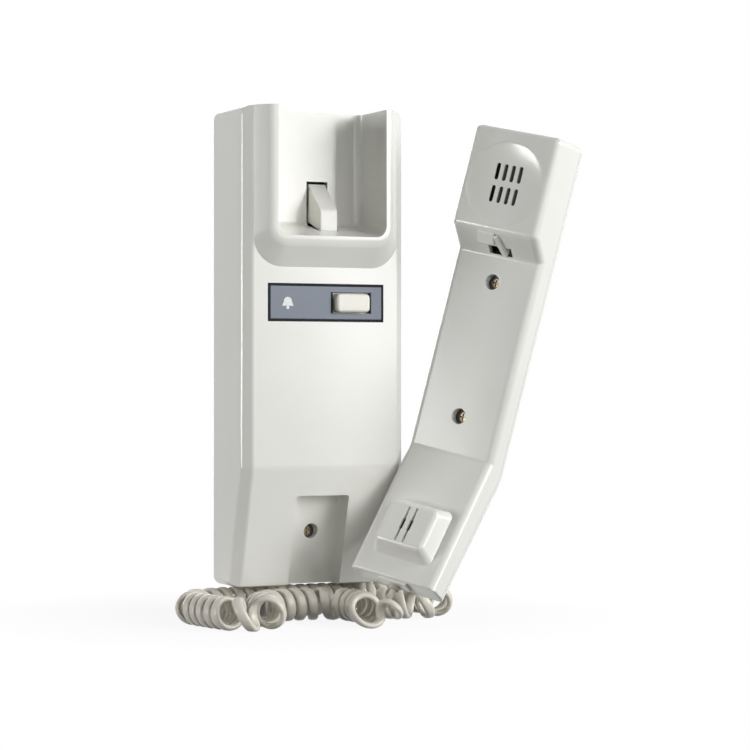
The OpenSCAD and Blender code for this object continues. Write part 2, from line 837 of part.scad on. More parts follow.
// The handset's outer form, moved inwards by t
module handset_form(t) {
    half = hs_half - t;
    front_b = inner_bevel(handle_bevel, t);
    back_b = inner_bevel(back_bevel, t);
    mitre = front_b * tan(mouth_angle / 2) + 1;
    difference() {
        intersection() {
            across(handset_side(t), 2 * half);
            mirror([0, 1, 0])
                translate([0, 0, -far])
                    linear_extrude(2 * far)
                        polygon(bevelled(half, t - handle_t, back_b));
            translate([0, handle_t, back_bend_z])
                rotate([-back_turn, 0, 0])
                    mirror([0, 1, 0])
                        translate([0, 0, -far])
                            linear_extrude(2 * far)
                                polygon(bevelled(half, t, back_b + bevel_step));
        }
        edge_cut(half, t - ear_out, inner_bevel(ear_bevel, t), neck_h / 2, far);
        edge_cut(half, t, front_b, -handle_len - mitre, 0);
        at_mouth()
            edge_cut(half, t, front_b + bevel_step, -far, mitre);
    }
}

// Everything behind the seam of the two shells
module behind_seam() {
    across([[part_y, far], part_bend, part_tip, [far, part_tip[1]], [far, far]], far);
}

// Slanted frustum of the mouthpiece, in the mouth end's frame
module mouthpiece_form(t) {
    w = mouthpiece_w / 2 - t;
    l = mouthpiece_len / 2 - t;
    translate([0, 0, -mouthpiece_at])
        intersection() {
            translate([0, 0, -far])
                linear_extrude(2 * far)
                    polygon([[-w - mouthpiece_flank, 1], [-w - mouthpiece_flank, 0], [-w, t - mouthpiece_h],
                        [w, t - mouthpiece_h], [w + mouthpiece_flank, 0], [w + mouthpiece_flank, 1]]);
            across([[1, -l - mouthpiece_flank], [0, -l - mouthpiece_flank], [t - mouthpiece_h, -l],
                [t - mouthpiece_h, l], [0, l + mouthpiece_flank], [1, l + mouthpiece_flank]], far);
        }
}

// Heights of the two handset screws
function hs_screw_z(i) = -hs_screw_top - i * hs_screw_pitch;

// Two rows of sound slots, cut along Y
module sound_slots() {
    for (row = [-1, 1], i = [0:slot_count - 1]) {
        x = (i - (slot_count - 1) / 2) * slot_pitch;
        z = ear_mid_z + row * slot_rows / 2;
        block([x - slot_w / 2, -far, z - slot_len / 2], [x + slot_w / 2, ear_in + 0.1, z + slot_len / 2]);
    }
}

// Two mouthpiece slots with a wider middle, cut along Y in the mouth end's frame
module mouth_slots() {
    for (side = [-1, 1])
        translate([side * mic_slot_pitch / 2, 0, -mouthpiece_at]) {
            block([-mic_slot_w / 2, -far, -mic_slot_len / 2],
                [mic_slot_w / 2, mic_wall - mouthpiece_h + 0.1, mic_slot_len / 2]);
            block([-mic_slot_w * 0.8, -far, -mic_slot_len * 0.15],
                [mic_slot_w * 0.8, mic_wall - mouthpiece_h + 0.1, mic_slot_len * 0.15]);
        }
}

module handset_front_shell() {
    color("ivory")
    at_handset()
    difference() {
        union() {
            difference() {
                handset_form(0);
                handset_form(hs_t);
                behind_seam();
            }
            // Thick ear face and the receiver's seat
            intersection() {
                handset_form(0.5);
                union() {
                    block([1 - hs_half, -ear_out, neck_h + 1], [hs_half - 1, ear_in, ear_top - 1]);
                    bar_y(receiver_r + seam_gap + seat_ring_t, -ear_out, ear_in + seat_ring_h, 0, ear_mid_z);
                }
            }
            at_mouth()
                mouthpiece_form(0);
            for (i = [0, 1])
                bar_y(well_r + well_t, 0.5, hs_well_deep + head_h + well_floor, 0, hs_screw_z(i));
        }
        // Dish and sound slots of the earpiece
        translate([0, dish_deep - ear_out - dish_sphere, ear_mid_z])
            sphere(r = dish_sphere, $fn = 96);
        sound_slots();
        bar_y(receiver_r + seam_gap, ear_in, handle_t + 1, 0, ear_mid_z);
        // Pocket for the hook lever in the neck
        block([hook_pocket_x - hook_pocket_w / 2, -1.5, 0.3],
            [hook_pocket_x + hook_pocket_w / 2, hook_pocket_deep - 2, 4.2]);
        // Screw wells
        for (i = [0, 1]) {
            bar_y(well_r, -1, hs_well_deep + head_h, 0, hs_screw_z(i));
            bar_y(shank_r + 0.3, -1, far, 0, hs_screw_z(i));
        }
        // Bed and slots of the microphone, and the hole of the cord boot
        at_mouth() {
            mouth_slots();
            bar_y(mic_bore_r, mic_wall - mouthpiece_h, 6, 0, -mouthpiece_at);
            translate([0, hs_boot_y, -mouth_len - 1])
                cylinder(r = boot_r + fit_gap, h = hs_t + 4);
        }
    }
}

module handset_back_shell() {
    post_y = hs_well_deep + head_h + well_floor;
    receiver_back = ear_in + gasket_t + receiver_h;
    color("ivory")
    at_handset()
    difference() {
        union() {
            intersection() {
                difference() {
                    handset_form(0);
                    handset_form(hs_t);
                }
                behind_seam();
            }
            for (i = [0, 1])
                bar_y(well_r + 0.4, post_y, handle_t - hs_t + 0.5, 0, hs_screw_z(i));
            // Posts that hold the receiver in its seat
            for (a = [45:90:315])
                bar_y(1.8, receiver_back, handle_t - hs_t + 0.5,
                    (receiver_r - 2.5) * cos(a), ear_mid_z + (receiver_r - 2.5) * sin(a));
        }
        for (i = [0, 1])
            bar_y(shank_r + fit_gap, post_y - 1, handle_t - hs_t, 0, hs_screw_z(i));
    }
}

module handset_screws() {
    color("silver")
    at_handset()
        for (i = [0, 1])
            translate([0, hs_well_deep, hs_screw_z(i)])
                screw(head_r, head_h, shank_r, handle_t - hs_t - hs_well_deep - head_h - 0.5);
}

module receiver_gasket() {
    color("dimgray")
    at_handset()
    difference() {
        bar_y(receiver_r, ear_in, ear_in + gasket_t, 0, ear_mid_z);
        bar_y(receiver_r - gasket_w, ear_in - 1, ear_in + gasket_t + 1, 0, ear_mid_z);
    }
}

module ear_receiver() {
    front = ear_in + gasket_t;
    color("gray")
    at_handset() {
        bar_y(receiver_r, front, front + receiver_h, 0, ear_mid_z);
        bar_y(magnet_r, front + receiver_h - 0.5, front + receiver_h + magnet_h, 0, ear_mid_z);
    }
}

module receiver_lead() {
    run_x = 8;
    run_y = handle_t / 2 + 1;
    end_y = ear_in + gasket_t + receiver_h + magnet_h + 0.9;
    color("tomato")
    at_handset()
        wire(concat(
            [for (p = [[1.2, hs_boot_y, 5 - mouth_len], [1.2, hs_boot_y, 9 - mouth_len],
                       [run_x, hs_boot_y, 18 - mouth_len], [run_x, hs_boot_y + 1, -14]])
                turn_x(p, -mouth_angle) + [0, 0, -handle_len]],
            [[run_x, run_y, -handle_len], [run_x, run_y, 0], [run_x - 2, end_y, neck_h + 10],
             [4, end_y, ear_mid_z - 4]]), 0.8);
}

module mic_lead() {
    color("gold")
    at_handset()
        at_mouth()
            wire([[-1.2, hs_boot_y, 5 - mouth_len], [-1.2, hs_boot_y, 8 - mouth_len],
                [-2, hs_boot_y, -mouthpiece_at - 5],
                [-1, mic_boot_h + mic_wall - mouthpiece_h + 1.2, -mouthpiece_at]], 0.8);
}

module mic_boot() {
    front = mic_wall - mouthpiece_h;
    color("dimgray")
    at_handset()
        at_mouth()
            difference() {
                bar_y(mic_r + mic_boot_t, front, front + mic_boot_h, 0, -mouthpiece_at);
                bar_y(mic_r + fit_gap, front - 1, front + mic_boot_h + 1, 0, -mouthpiece_at);
            }
}

module microphone() {
    front = mic_wall - mouthpiece_h + 0.3;
    color("silver")
    at_handset()
        at_mouth()
            bar_y(mic_r, front, front + mic_h, 0, -mouthpiece_at);
}

module handset_cord_boot() {
    color("lightgray")
    at_handset()
        at_mouth()
            translate([0, hs_boot_y, -mouth_len - boot_len])
                cylinder(r = boot_r, h = boot_len + hs_t + 2.6);
}

// Curly cord

// Both ends leave their boots square, then the route takes over
inlet = mouth_point([0, hs_boot_y, -mouth_len - boot_len - end_gap]);
inlet_out = mouth_turn([0, 0, -1]);
outlet = [boot_x, boot_y, -half_h - boot_len];
outlet_out = [0, 0, -1];
knots = concat([outlet, outlet + outlet_out * cord_w / 2, outlet + outlet_out * cord_w], cord_route,
    [inlet + inlet_out * cord_w, inlet + inlet_out * cord_w / 2, inlet]);

// A smooth curve through the knots
function knot(i) = knots[min(max(i, 0), len(knots) - 1)];
function spline(i, t) =
    let (a = knot(i - 1), b = knot(i), c = knot(i + 1), d = knot(i + 2))
    0.5 * (2 * b + (c - a) * t + (2 * a - 5 * b + 4 * c - d) * t * t + (3 * b - a - 3 * c + d) * t * t * t);
curve = concat([for (i = [0:len(knots) - 2], k = [0:route_steps - 1]) spline(i, k / route_steps)],
    [knots[len(knots) - 1]]);
runs = [for (i = 0, s = 0; i < len(curve);
    s = s + (i + 1 < len(curve) ? norm(curve[i + 1] - curve[i]) : 0), i = i + 1) s];
route_len = runs[len(runs) - 1];
table = [for (axis = [0:2]) [for (i = [0:len(curve) - 1]) [runs[i], curve[i][axis]]]];
function along(s) = [for (axis = [0:2]) lookup(min(max(s, 0), route_len), table[axis])];
function unit(v) = v / norm(v);
function heading(s) =
    let (m = min(max(s, 1.5), route_len - 1.5))
    unit(along(m + 1.5) - along(m - 1.5));
function bend(s) = norm(heading(s + 3) - heading(s - 3)) / 6;
function ease(x) = let (c = min(max(x, 0), 1)) c * c * (3 - 2 * c);
function curl_size(s) = curl_r * ease((s - tail_len) / grow_len) * ease((route_len - tail_len - s) / grow_len);
function curl_rate(s) =
    let (pitch = (cord_w + curl_gap) / max(1 - bend_margin * bend(s) * curl_r, 0.28), live = curl_size(s) / curl_r)
    360 * live / pitch;

ring_step = route_len / cord_rings;
phases = [for (i = 0, a = 0; i <= cord_rings;
    a = a + ring_step * curl_rate((i + 0.5) * ring_step), i = i + 1) a];
side_dirs = [for (i = 0, n = [0, 1, 0]; i <= cord_rings;
    i = i + 1, n = let (h = heading(i * ring_step)) unit(n - (n * h) * h)) n];

// Middle of the cord at ring i, and the corners of the ring there
function radial(i) =
    let (h = heading(i * ring_step), n = unit(side_dirs[i] - (side_dirs[i] * h) * h), b = cross(h, n))
    n * cos(phases[i]) + b * sin(phases[i]);
function middle(i) = along(i * ring_step) + radial(i) * curl_size(i * ring_step);

module curly_cord() {
    mids = [for (i = [0:cord_rings]) middle(i)];
    corners = [for (i = [0:cord_rings], k = [0:cord_sides - 1])
        let (d = unit(mids[min(i + 1, cord_rings)] - mids[max(i - 1, 0)]),
             r = unit(radial(i) - (radial(i) * d) * d), w = cross(r, d), a = 360 * (k + 0.5) / cord_sides)
        mids[i] + w * (cord_w / 2 * cos(a) / cos(30)) + r * (cord_t / 2 * sin(a))];
    gaps = [for (i = [0:cord_rings - 6], j = [i + 6:cord_rings])
        if (phases[j] - phases[i] > 200 && norm(mids[i] - mids[j]) < 2 * cord_w)
            for (k = [0:cord_sides - 1], l = [0:cord_sides - 1])
                norm(corners[i * cord_sides + k] - corners[j * cord_sides + l])];
    echo(cord_length = sum_runs(mids), curls = phases[cord_rings] / 360, least_gap = min(gaps));
    color("antiquewhite")
    polyhedron(corners, tube_faces(cord_rings, cord_sides), convexity = 20);
}

// Length of a chain of points
function sum_runs(p) =
    [for (i = 1, s = 0; i < len(p); s = s + norm(p[i] - p[i - 1]), i = i + 1) s + norm(p[i] - p[i - 1])][len(p) - 2];

front_cover();
back_plate();
name_plate();
call_button();
button_spring();
call_switch();
hook_lever();
hook_pin();
hook_spring();
hook_switch();
switch_plunger();
circuit_board();
board_components();
board_screws();
terminal_block();
terminal_screws();
tone_buzzer();
cover_screw();
base_lead();
base_cord_boot();
curly_cord();
handset_cord_boot();
handset_front_shell();
handset_back_shell();
handset_screws();
receiver_gasket();
ear_receiver();
receiver_lead();
mic_boot();
microphone();
mic_lead();
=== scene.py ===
"""Looks of a wall intercom: a wall station with a cradle, a handset and the curly cord between them.

Sizes in the classes are in millimetres, in the frame of the CAD model: X runs to the right, Y into the wall and Z up.
"""

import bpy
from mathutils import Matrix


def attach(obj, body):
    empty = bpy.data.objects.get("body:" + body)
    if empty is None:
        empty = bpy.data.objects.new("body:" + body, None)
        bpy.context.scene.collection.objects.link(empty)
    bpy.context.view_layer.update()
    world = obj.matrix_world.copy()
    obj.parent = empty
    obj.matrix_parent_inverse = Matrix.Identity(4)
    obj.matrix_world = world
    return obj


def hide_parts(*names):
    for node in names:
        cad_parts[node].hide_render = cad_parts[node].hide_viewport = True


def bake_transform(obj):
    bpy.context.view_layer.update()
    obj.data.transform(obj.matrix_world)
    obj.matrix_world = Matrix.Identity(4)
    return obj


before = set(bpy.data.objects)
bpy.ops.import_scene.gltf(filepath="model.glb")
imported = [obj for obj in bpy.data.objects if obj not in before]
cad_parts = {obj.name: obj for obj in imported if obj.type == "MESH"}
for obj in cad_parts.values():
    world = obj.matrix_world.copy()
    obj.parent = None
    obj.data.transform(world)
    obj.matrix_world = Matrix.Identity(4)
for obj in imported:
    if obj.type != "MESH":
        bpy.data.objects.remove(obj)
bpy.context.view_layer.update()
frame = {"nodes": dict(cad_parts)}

import logging
import math
from bisect import bisect_right
from dataclasses import dataclass
from enum import Enum
from itertools import accumulate
from typing import Callable, Self, Sequence

import bmesh
import bpy
from mathutils import Matrix, Vector

log = logging.getLogger("intercom")

Point = Sequence[float]
Triple = tuple[float, float, float]
Test = Callable[[list[Vector]], bool]
Socket = bpy.types.NodeSocket

MM = 0.001
SLACK = 0.1  # how far a point may be off the limit that a test names
ON_CIRCLE = 0.05  # the same for a circle
WELD = 0.002  # points that are closer than this are one
FLAT = 0.5  # degrees up to which neighbouring faces count as one plane
SOFT = 24  # degrees from which an edge counts as sharp before it is softened
CREASE = 32  # degrees from which an edge stays sharp in the shading
ROD_SIDES = 48
POCKET_SCREW_Z = -83.6  # height of the screw in the station's pocket
WELL_WALL = 4.85  # radius of the wall around a screw's well
WELL_EDGE = 0.4  # rounding of the well's edge
SHANK_HOLE = 1.7  # radius of the hole for a screw's shank
BOOT_HOLE = 2.65  # radius of the hole for the cord's boot
OUTLET = (26, -18.4)  # where the cord leaves the station, along X and Y
BOOT_Y = 6.5  # depth at which it enters the handset's tip
AHEAD = -60  # depth in front of the station, where a tool starts to cut
THROUGH = (AHEAD, -30)  # span along Y of a tool that cuts through the plate
PLATE_Z = 20.3  # height of the plate's and the button's middle
PLATE_BED = ((-28.8, 11.7), (28.7, 28.9))  # corners of the plate's bed, along X and Z


def within(along: str = "", across: str = "", **limits: float) -> Test:
    """Makes a test that picks elements between limits.

    Args:
        along: Axes that an edge has to run along, straight or slanted.
        across: Axes that it may not run along.
        limits: Limits of its points, named z_min or z_max for instance, or z for both.

    Returns:
        The test.
    """
    rules = []
    for name, value in limits.items():
        signs = {"_min": [1], "_max": [-1]}.get(name[1:], [1, -1])
        rules += [("xyz".index(name[0]), sign, value) for sign in signs]

    def test(p: list[Vector]) -> bool:
        """Tells whether an element lies and runs as asked."""
        runs = {axis for i, axis in enumerate("xyz") if abs(p[0][i] - p[-1][i]) > SLACK}
        inside = all(sign * (q[i] - value) > -SLACK for q in p for i, sign, value in rules)
        return inside and set(along) <= runs and not runs & set(across)

    return test


def circle(radius: float, z: float, front: float, back: float) -> Test:
    """Makes a test that picks edges on a circle about an axis along Y, between two depths."""
    return lambda p: all(abs(math.hypot(q.x, q.z - z) - radius) < ON_CIRCLE and front < q.y < back for q in p)


def shift(x: float, y: float, z: float) -> Matrix:
    """Gives a move, in millimetres along X, Y and Z, as a matrix in metres."""
    return Matrix.Translation(Vector((x, y, z)) * MM)


def turn(angle: float, axis: str) -> Matrix:
    """Gives a turn, in degrees about X, Y or Z, as a matrix."""
    return Matrix.Rotation(math.radians(angle), 4, axis)


def linear(color: str) -> tuple[float, float, float, float]:
    """Turns an sRGB colour into the linear values that shaders use.

    Args:
        color: Six hex digits.

    Returns:
        Red, green, blue and an alpha of 1.
    """
    parts = [int(color[i : i + 2], 16) / 255 for i in (0, 2, 4)]
    red, green, blue = (c / 12.92 if c <= 0.04045 else ((c + 0.055) / 1.055) ** 2.4 for c in parts)
    return (red, green, blue, 1.0)


class Join(Enum):
    """Ways to join two solids."""

    UNION = "UNION"
    CUT = "DIFFERENCE"
    COMMON = "INTERSECT"


class Part(Enum):
    """Elements of a mesh that can be picked in edit mode."""

    VERTS = "VERT"
    EDGES = "EDGE"
    FACES = "FACE"


@dataclass(frozen=True)
class Round:
    """Edges that get one rounding."""

    radius: float
    test: Test  # picks an edge by its two ends


class Solid:
    """One mesh, shaped step by step with Blender's operators."""

    def __init__(self, name: str) -> None:
        """Takes over the object that was just added, and puts its place into its mesh.

        Args:
            name: The piece's name.
        """
        self.item = bpy.context.object
        self.item.name = self.item.data.name = name
        self.take()
        bpy.ops.object.transform_apply(location=True, rotation=True, scale=True)

    def take(self) -> None:
        """Makes the piece the only selected one."""
        bpy.ops.object.select_all(action="DESELECT")
        self.item.select_set(True)
        bpy.context.view_layer.objects.active = self.item

    @classmethod
    def box(cls, name: str, low: Point, high: Point) -> Self:
        """Adds a box between two corners.

        Args:
            name: Its name.
            low: Corner with the lowest coordinates.
            high: Corner with the highest coordinates.

        Returns:
            The box.
        """
        bpy.ops.mesh.primitive_cube_add(size=1, location=[(a + b) / 2 * MM for a, b in zip(low, high)])
        bpy.context.object.scale = [(b - a) * MM for a, b in zip(low, high)]
        return cls(name)

    @classmethod
    def rod(cls, name: str, radius: float, start: Point, end: Point) -> Self:
        """Adds a round bar between two points.

        Args:
            name: Its name.
            radius: Its radius.
            start: Middle of one end.
            end: Middle of the other end.

        Returns:
            The bar.
        """
        run = Vector(end) - Vector(start)
        bpy.ops.mesh.primitive_cylinder_add(
            vertices=ROD_SIDES,
            radius=radius * MM,
            depth=run.length * MM,
            location=(Vector(start) + Vector(end)) / 2 * MM,
            rotation=run.to_track_quat("Z", "Y").to_euler(),
        )
        return cls(name)

    @classmethod
    def slab(cls, name: str, middle: Point, half: Point, front: float, back: float) -> Self:
        """Adds a box by its middle and half its size, both along X and Z, and its two ends along Y."""
        (x, z), (half_w, half_h) = middle, half
        return cls.box(name, (x - half_w, front, z - half_h), (x + half_w, back, z + half_h))

    @classmethod
    def peg(cls, name: str, middle: Point, radius: float, front: float, back: float) -> Self:
        """Adds a round bar along Y by its middle along X and Z, its radius and its two ends."""
        x, z = middle
        return cls.rod(name, radius, (x, front, z), (x, back, z))

    def edit(self, part: Part, test: Test, *steps: Callable[[], object]) -> Self:
        """Runs operators in edit mode on the elements that pass a test.

        Args:
            part: Kind of the elements.
            test: Gets an element's points in millimetres.
            steps: The operators.

        Returns:
            The piece itself.
        """
        self.take()
        bpy.ops.object.mode_set(mode="EDIT")
        bpy.ops.mesh.select_mode(type=part.value)
        bpy.ops.mesh.select_all(action="DESELECT")
        mesh = bmesh.from_edit_mesh(self.item.data)
        for element in {Part.VERTS: mesh.verts, Part.EDGES: mesh.edges, Part.FACES: mesh.faces}[part]:
            verts = [element] if part is Part.VERTS else element.verts
            if test([v.co / MM for v in verts]):
                element.select_set(True)
        mesh.select_flush_mode()
        bmesh.update_edit_mesh(self.item.data)
        for step in steps:
            step()
        bpy.ops.object.mode_set(mode="OBJECT")
        return self

    def push(self, move: Point, test: Test) -> Self:
        """Moves the points that pass a test."""
        return self.edit(Part.VERTS, test, lambda: bpy.ops.transform.translate(value=Vector(move) * MM))

    def draw_out(self, move: Point, test: Test) -> Self:
        """Extrudes the faces that pass a test."""
        way = {"value": Vector(move) * MM}
        return self.edit(Part.FACES, test, lambda: bpy.ops.mesh.extrude_region_move(TRANSFORM_OT_translate=way))

    def weld(self) -> Self:
        """Merges points that lie on each other, closes pinholes and turns all faces outwards.

        Returns:
            The piece itself.
        """
        return self.edit(
            Part.VERTS,
            within(),
            lambda: bpy.ops.mesh.remove_doubles(threshold=WELD * MM),
            lambda: bpy.ops.mesh.dissolve_degenerate(threshold=WELD * MM),
            lambda: bpy.ops.mesh.fill_holes(sides=6),
            lambda: bpy.ops.mesh.normals_make_consistent(inside=False),
        )

    def plain(self) -> Self:
        """Dissolves the edges between faces of one plane, which would disturb a rounding."""
        return self.edit(Part.FACES, within(), lambda: bpy.ops.mesh.dissolve_limited(angle_limit=math.radians(FLAT)))

    def bevel(self, width: float, test: Test, segments: int = 1) -> Self:
        """Bevels the edges that pass a test: flat with one strip, round with more."""
        settings = {"offset_type": "OFFSET", "offset": width * MM, "segments": segments, "affect": "EDGES"}
        return self.edit(Part.EDGES, test, lambda: bpy.ops.mesh.bevel(**settings))

    def modify(self, kind: str, **settings: object) -> Self:
        """Adds a modifier and applies it.

        Args:
            kind: The modifier's type.
            settings: Values for its settings.

        Returns:
            The piece itself.
        """
        self.take()
        step = self.item.modifiers.new("step", kind)
        for name, value in settings.items():
            setattr(step, name, value)
        bpy.ops.object.modifier_apply(modifier=step.name)
        return self

    def round_off(self, rounds: Sequence[Round], segments: int = 5) -> Self:
        """Rounds several groups of edges at once, so that they meet cleanly.

        Args:
            rounds: The groups; a later one wins.
            segments: Number of strips in a rounding.

        Returns:
            The piece itself.
        """
        mesh = self.item.data
        widest = max(group.radius for group in rounds)
        weights = mesh.attributes.new("bevel_weight_edge", "FLOAT", "EDGE")
        for edge in mesh.edges:
            ends = [mesh.vertices[i].co / MM for i in edge.vertices]
            for group in rounds:
                if group.test(ends):
                    weights.data[edge.index].value = group.radius / widest
        return self.modify(
            "BEVEL", limit_method="WEIGHT", width=widest * MM, segments=segments, use_clamp_overlap=False
        )

    def soften(self, width: float) -> Self:
        """Rounds every sharp edge."""
        angle = math.radians(SOFT)
        return self.modify("BEVEL", limit_method="ANGLE", angle_limit=angle, width=width * MM, segments=3)

    def combine(self, how: Join, *tools: "Solid") -> Self:
        """Joins other solids to the piece, which uses them up.

        Args:
            how: The way to join.
            tools: The other solids.

        Returns:
            The piece itself.
        """
        for tool in tools:
            self.modify("BOOLEAN", operation=how.value, solver="EXACT", object=tool.item)
            bpy.data.objects.remove(tool.item, do_unlink=True)
        return self

    def place(self, pose: Matrix) -> Self:
        """Moves the piece from its own frame to its place in the model.

        Args:
            pose: The frame's place.

        Returns:
            The piece itself.
        """
        self.take()
        self.item.matrix_world = pose
        bpy.ops.object.transform_apply(location=True, rotation=True, scale=True)
        return self

    def smooth(self) -> Self:
        """Shades the finished piece smooth, with its flat faces kept flat.

        Returns:
            The piece itself.
        """
        self.weld().take()
        bpy.ops.object.shade_smooth_by_angle(angle=math.radians(CREASE))
        return self.modify("WEIGHTED_NORMAL", keep_sharp=True)


class Nodes:
    """The node tree of one material, or of the world."""

    def __init__(self, owner: bpy.types.ID, output: str = "ShaderNodeOutputMaterial") -> None:
        """Empties the tree and adds its output.

        Args:
            owner: The material or the world.
            output: Kind of its output.
        """
        self.owner = owner
        owner.use_nodes = True
        self.tree = owner.node_tree
        self.tree.nodes.clear()
        self.output = self.add(output, {})

    def add(self, kind: str, sockets: dict[str | int, object], **settings: object) -> bpy.types.Node:
        """Adds a node.

        Args:
            kind: The node's type.
            sockets: Values or other nodes' outputs for its inputs.
            settings: Values for its own settings.

        Returns:
            The node.
        """
        node = self.tree.nodes.new(kind)
        for name, value in settings.items():
            setattr(node, name, value)
        for name, value in sockets.items():
            if isinstance(value, Socket):
                self.tree.links.new(value, node.inputs[name])
            else:
                node.inputs[name].default_value = value
        return node

    def place(self, kind: str) -> Socket:
        """Adds coordinates of one kind."""
        return self.add("ShaderNodeTexCoord", {}).outputs[kind]

    def noise(self, size: float, detail: float = 3.0) -> Socket:
        """Adds a noise over the object's own coordinates, with blotches of a size in millimetres."""
        sockets = {"Vector": self.place("Object"), "Scale": 1 / (size * MM), "Detail": detail, "Roughness": 0.6}
        return self.add("ShaderNodeTexNoise", sockets).outputs["Fac"]

    def between(self, value: Socket, low: float, high: float, span: tuple[float, float] = (0.3, 0.7)) -> Socket:
        """Maps a value from a span, which is a noise's if left out, to a range."""
        sockets = {"Value": value, "From Min": span[0], "From Max": span[1], "To Min": low, "To Max": high}
        return self.add("ShaderNodeMapRange", sockets).outputs["Result"]

    def blend(self, value: Socket, first: str, second: str) -> Socket:
        """Maps a noise to two colours.

        Args:
            value: The noise.
            first: Colour at the noise's low end.
            second: Colour at its high end.

        Returns:
            The colour.
        """
        ramp = self.add("ShaderNodeValToRGB", {"Fac": value})
        for stop, position, color in zip(ramp.color_ramp.elements, (0.35, 0.65), (first, second)):
            stop.position = position
            stop.color = linear(color)
        return ramp.outputs["Color"]

    def mix(self, share: Socket, first: bpy.types.Node, second: bpy.types.Node) -> bpy.types.Node:
        """Mixes two shaders by the share of the second one."""
        return self.add("ShaderNodeMixShader", {"Fac": share, 1: first.outputs[0], 2: second.outputs[0]})

    def surface(self, shader: bpy.types.Node) -> bpy.types.ID:
        """Links a shader to the output and gives the finished material or world."""
        self.tree.links.new(shader.outputs[0], self.output.inputs["Surface"])
        return self.owner


@dataclass(frozen=True)
class Finish:
    """One material: two close tones in soft blotches, and a fine grain that the light catches."""

    name: str  # what the real material is
    tone: str
    other: str  # the colour of its blotches
    rough: tuple[float, float]  # lowest and highest roughness
    blotch: float  # size of the blotches
    grain: float  # size of the grain
    depth: float  # depth of the grain, from 0 to 1
    metallic: float = 0.0  # 1 for bare metal
    ior: float = 1.5  # index of refraction, from the material's usual value
    specular: float = 0.5  # strength of the gloss; less for a porous skin
    flat: bool = False  # whether each facet is lit by its own slope, for a plate of flat faces

    def make(self) -> bpy.types.Material:
        """Builds the material.

        Returns:
            The material.
        """
        nodes = Nodes(bpy.data.materials.new(self.name))
        # The real grain is finer than a pixel, so it is drawn as coarse as it needs to be to show.
        blotches = nodes.noise(self.blotch)
        grain = nodes.noise(self.grain, 2.0)
        facet = nodes.add("ShaderNodeNewGeometry", {}).outputs["True Normal" if self.flat else "Normal"]
        bump = nodes.add(
            "ShaderNodeBump",
            {"Strength": self.depth, "Distance": self.grain * MM, "Height": grain, "Normal": facet},
        )
        shader = nodes.add(
            "ShaderNodeBsdfPrincipled",
            {
                "Base Color": nodes.blend(blotches, self.tone, self.other),
                "Roughness": nodes.between(grain, *self.rough),
                "Metallic": self.metallic,
                "IOR": self.ior,
                "Specular IOR Level": self.specular,
                "Normal": bump.outputs["Normal"],
            },
        )
        return nodes.surface(shader)


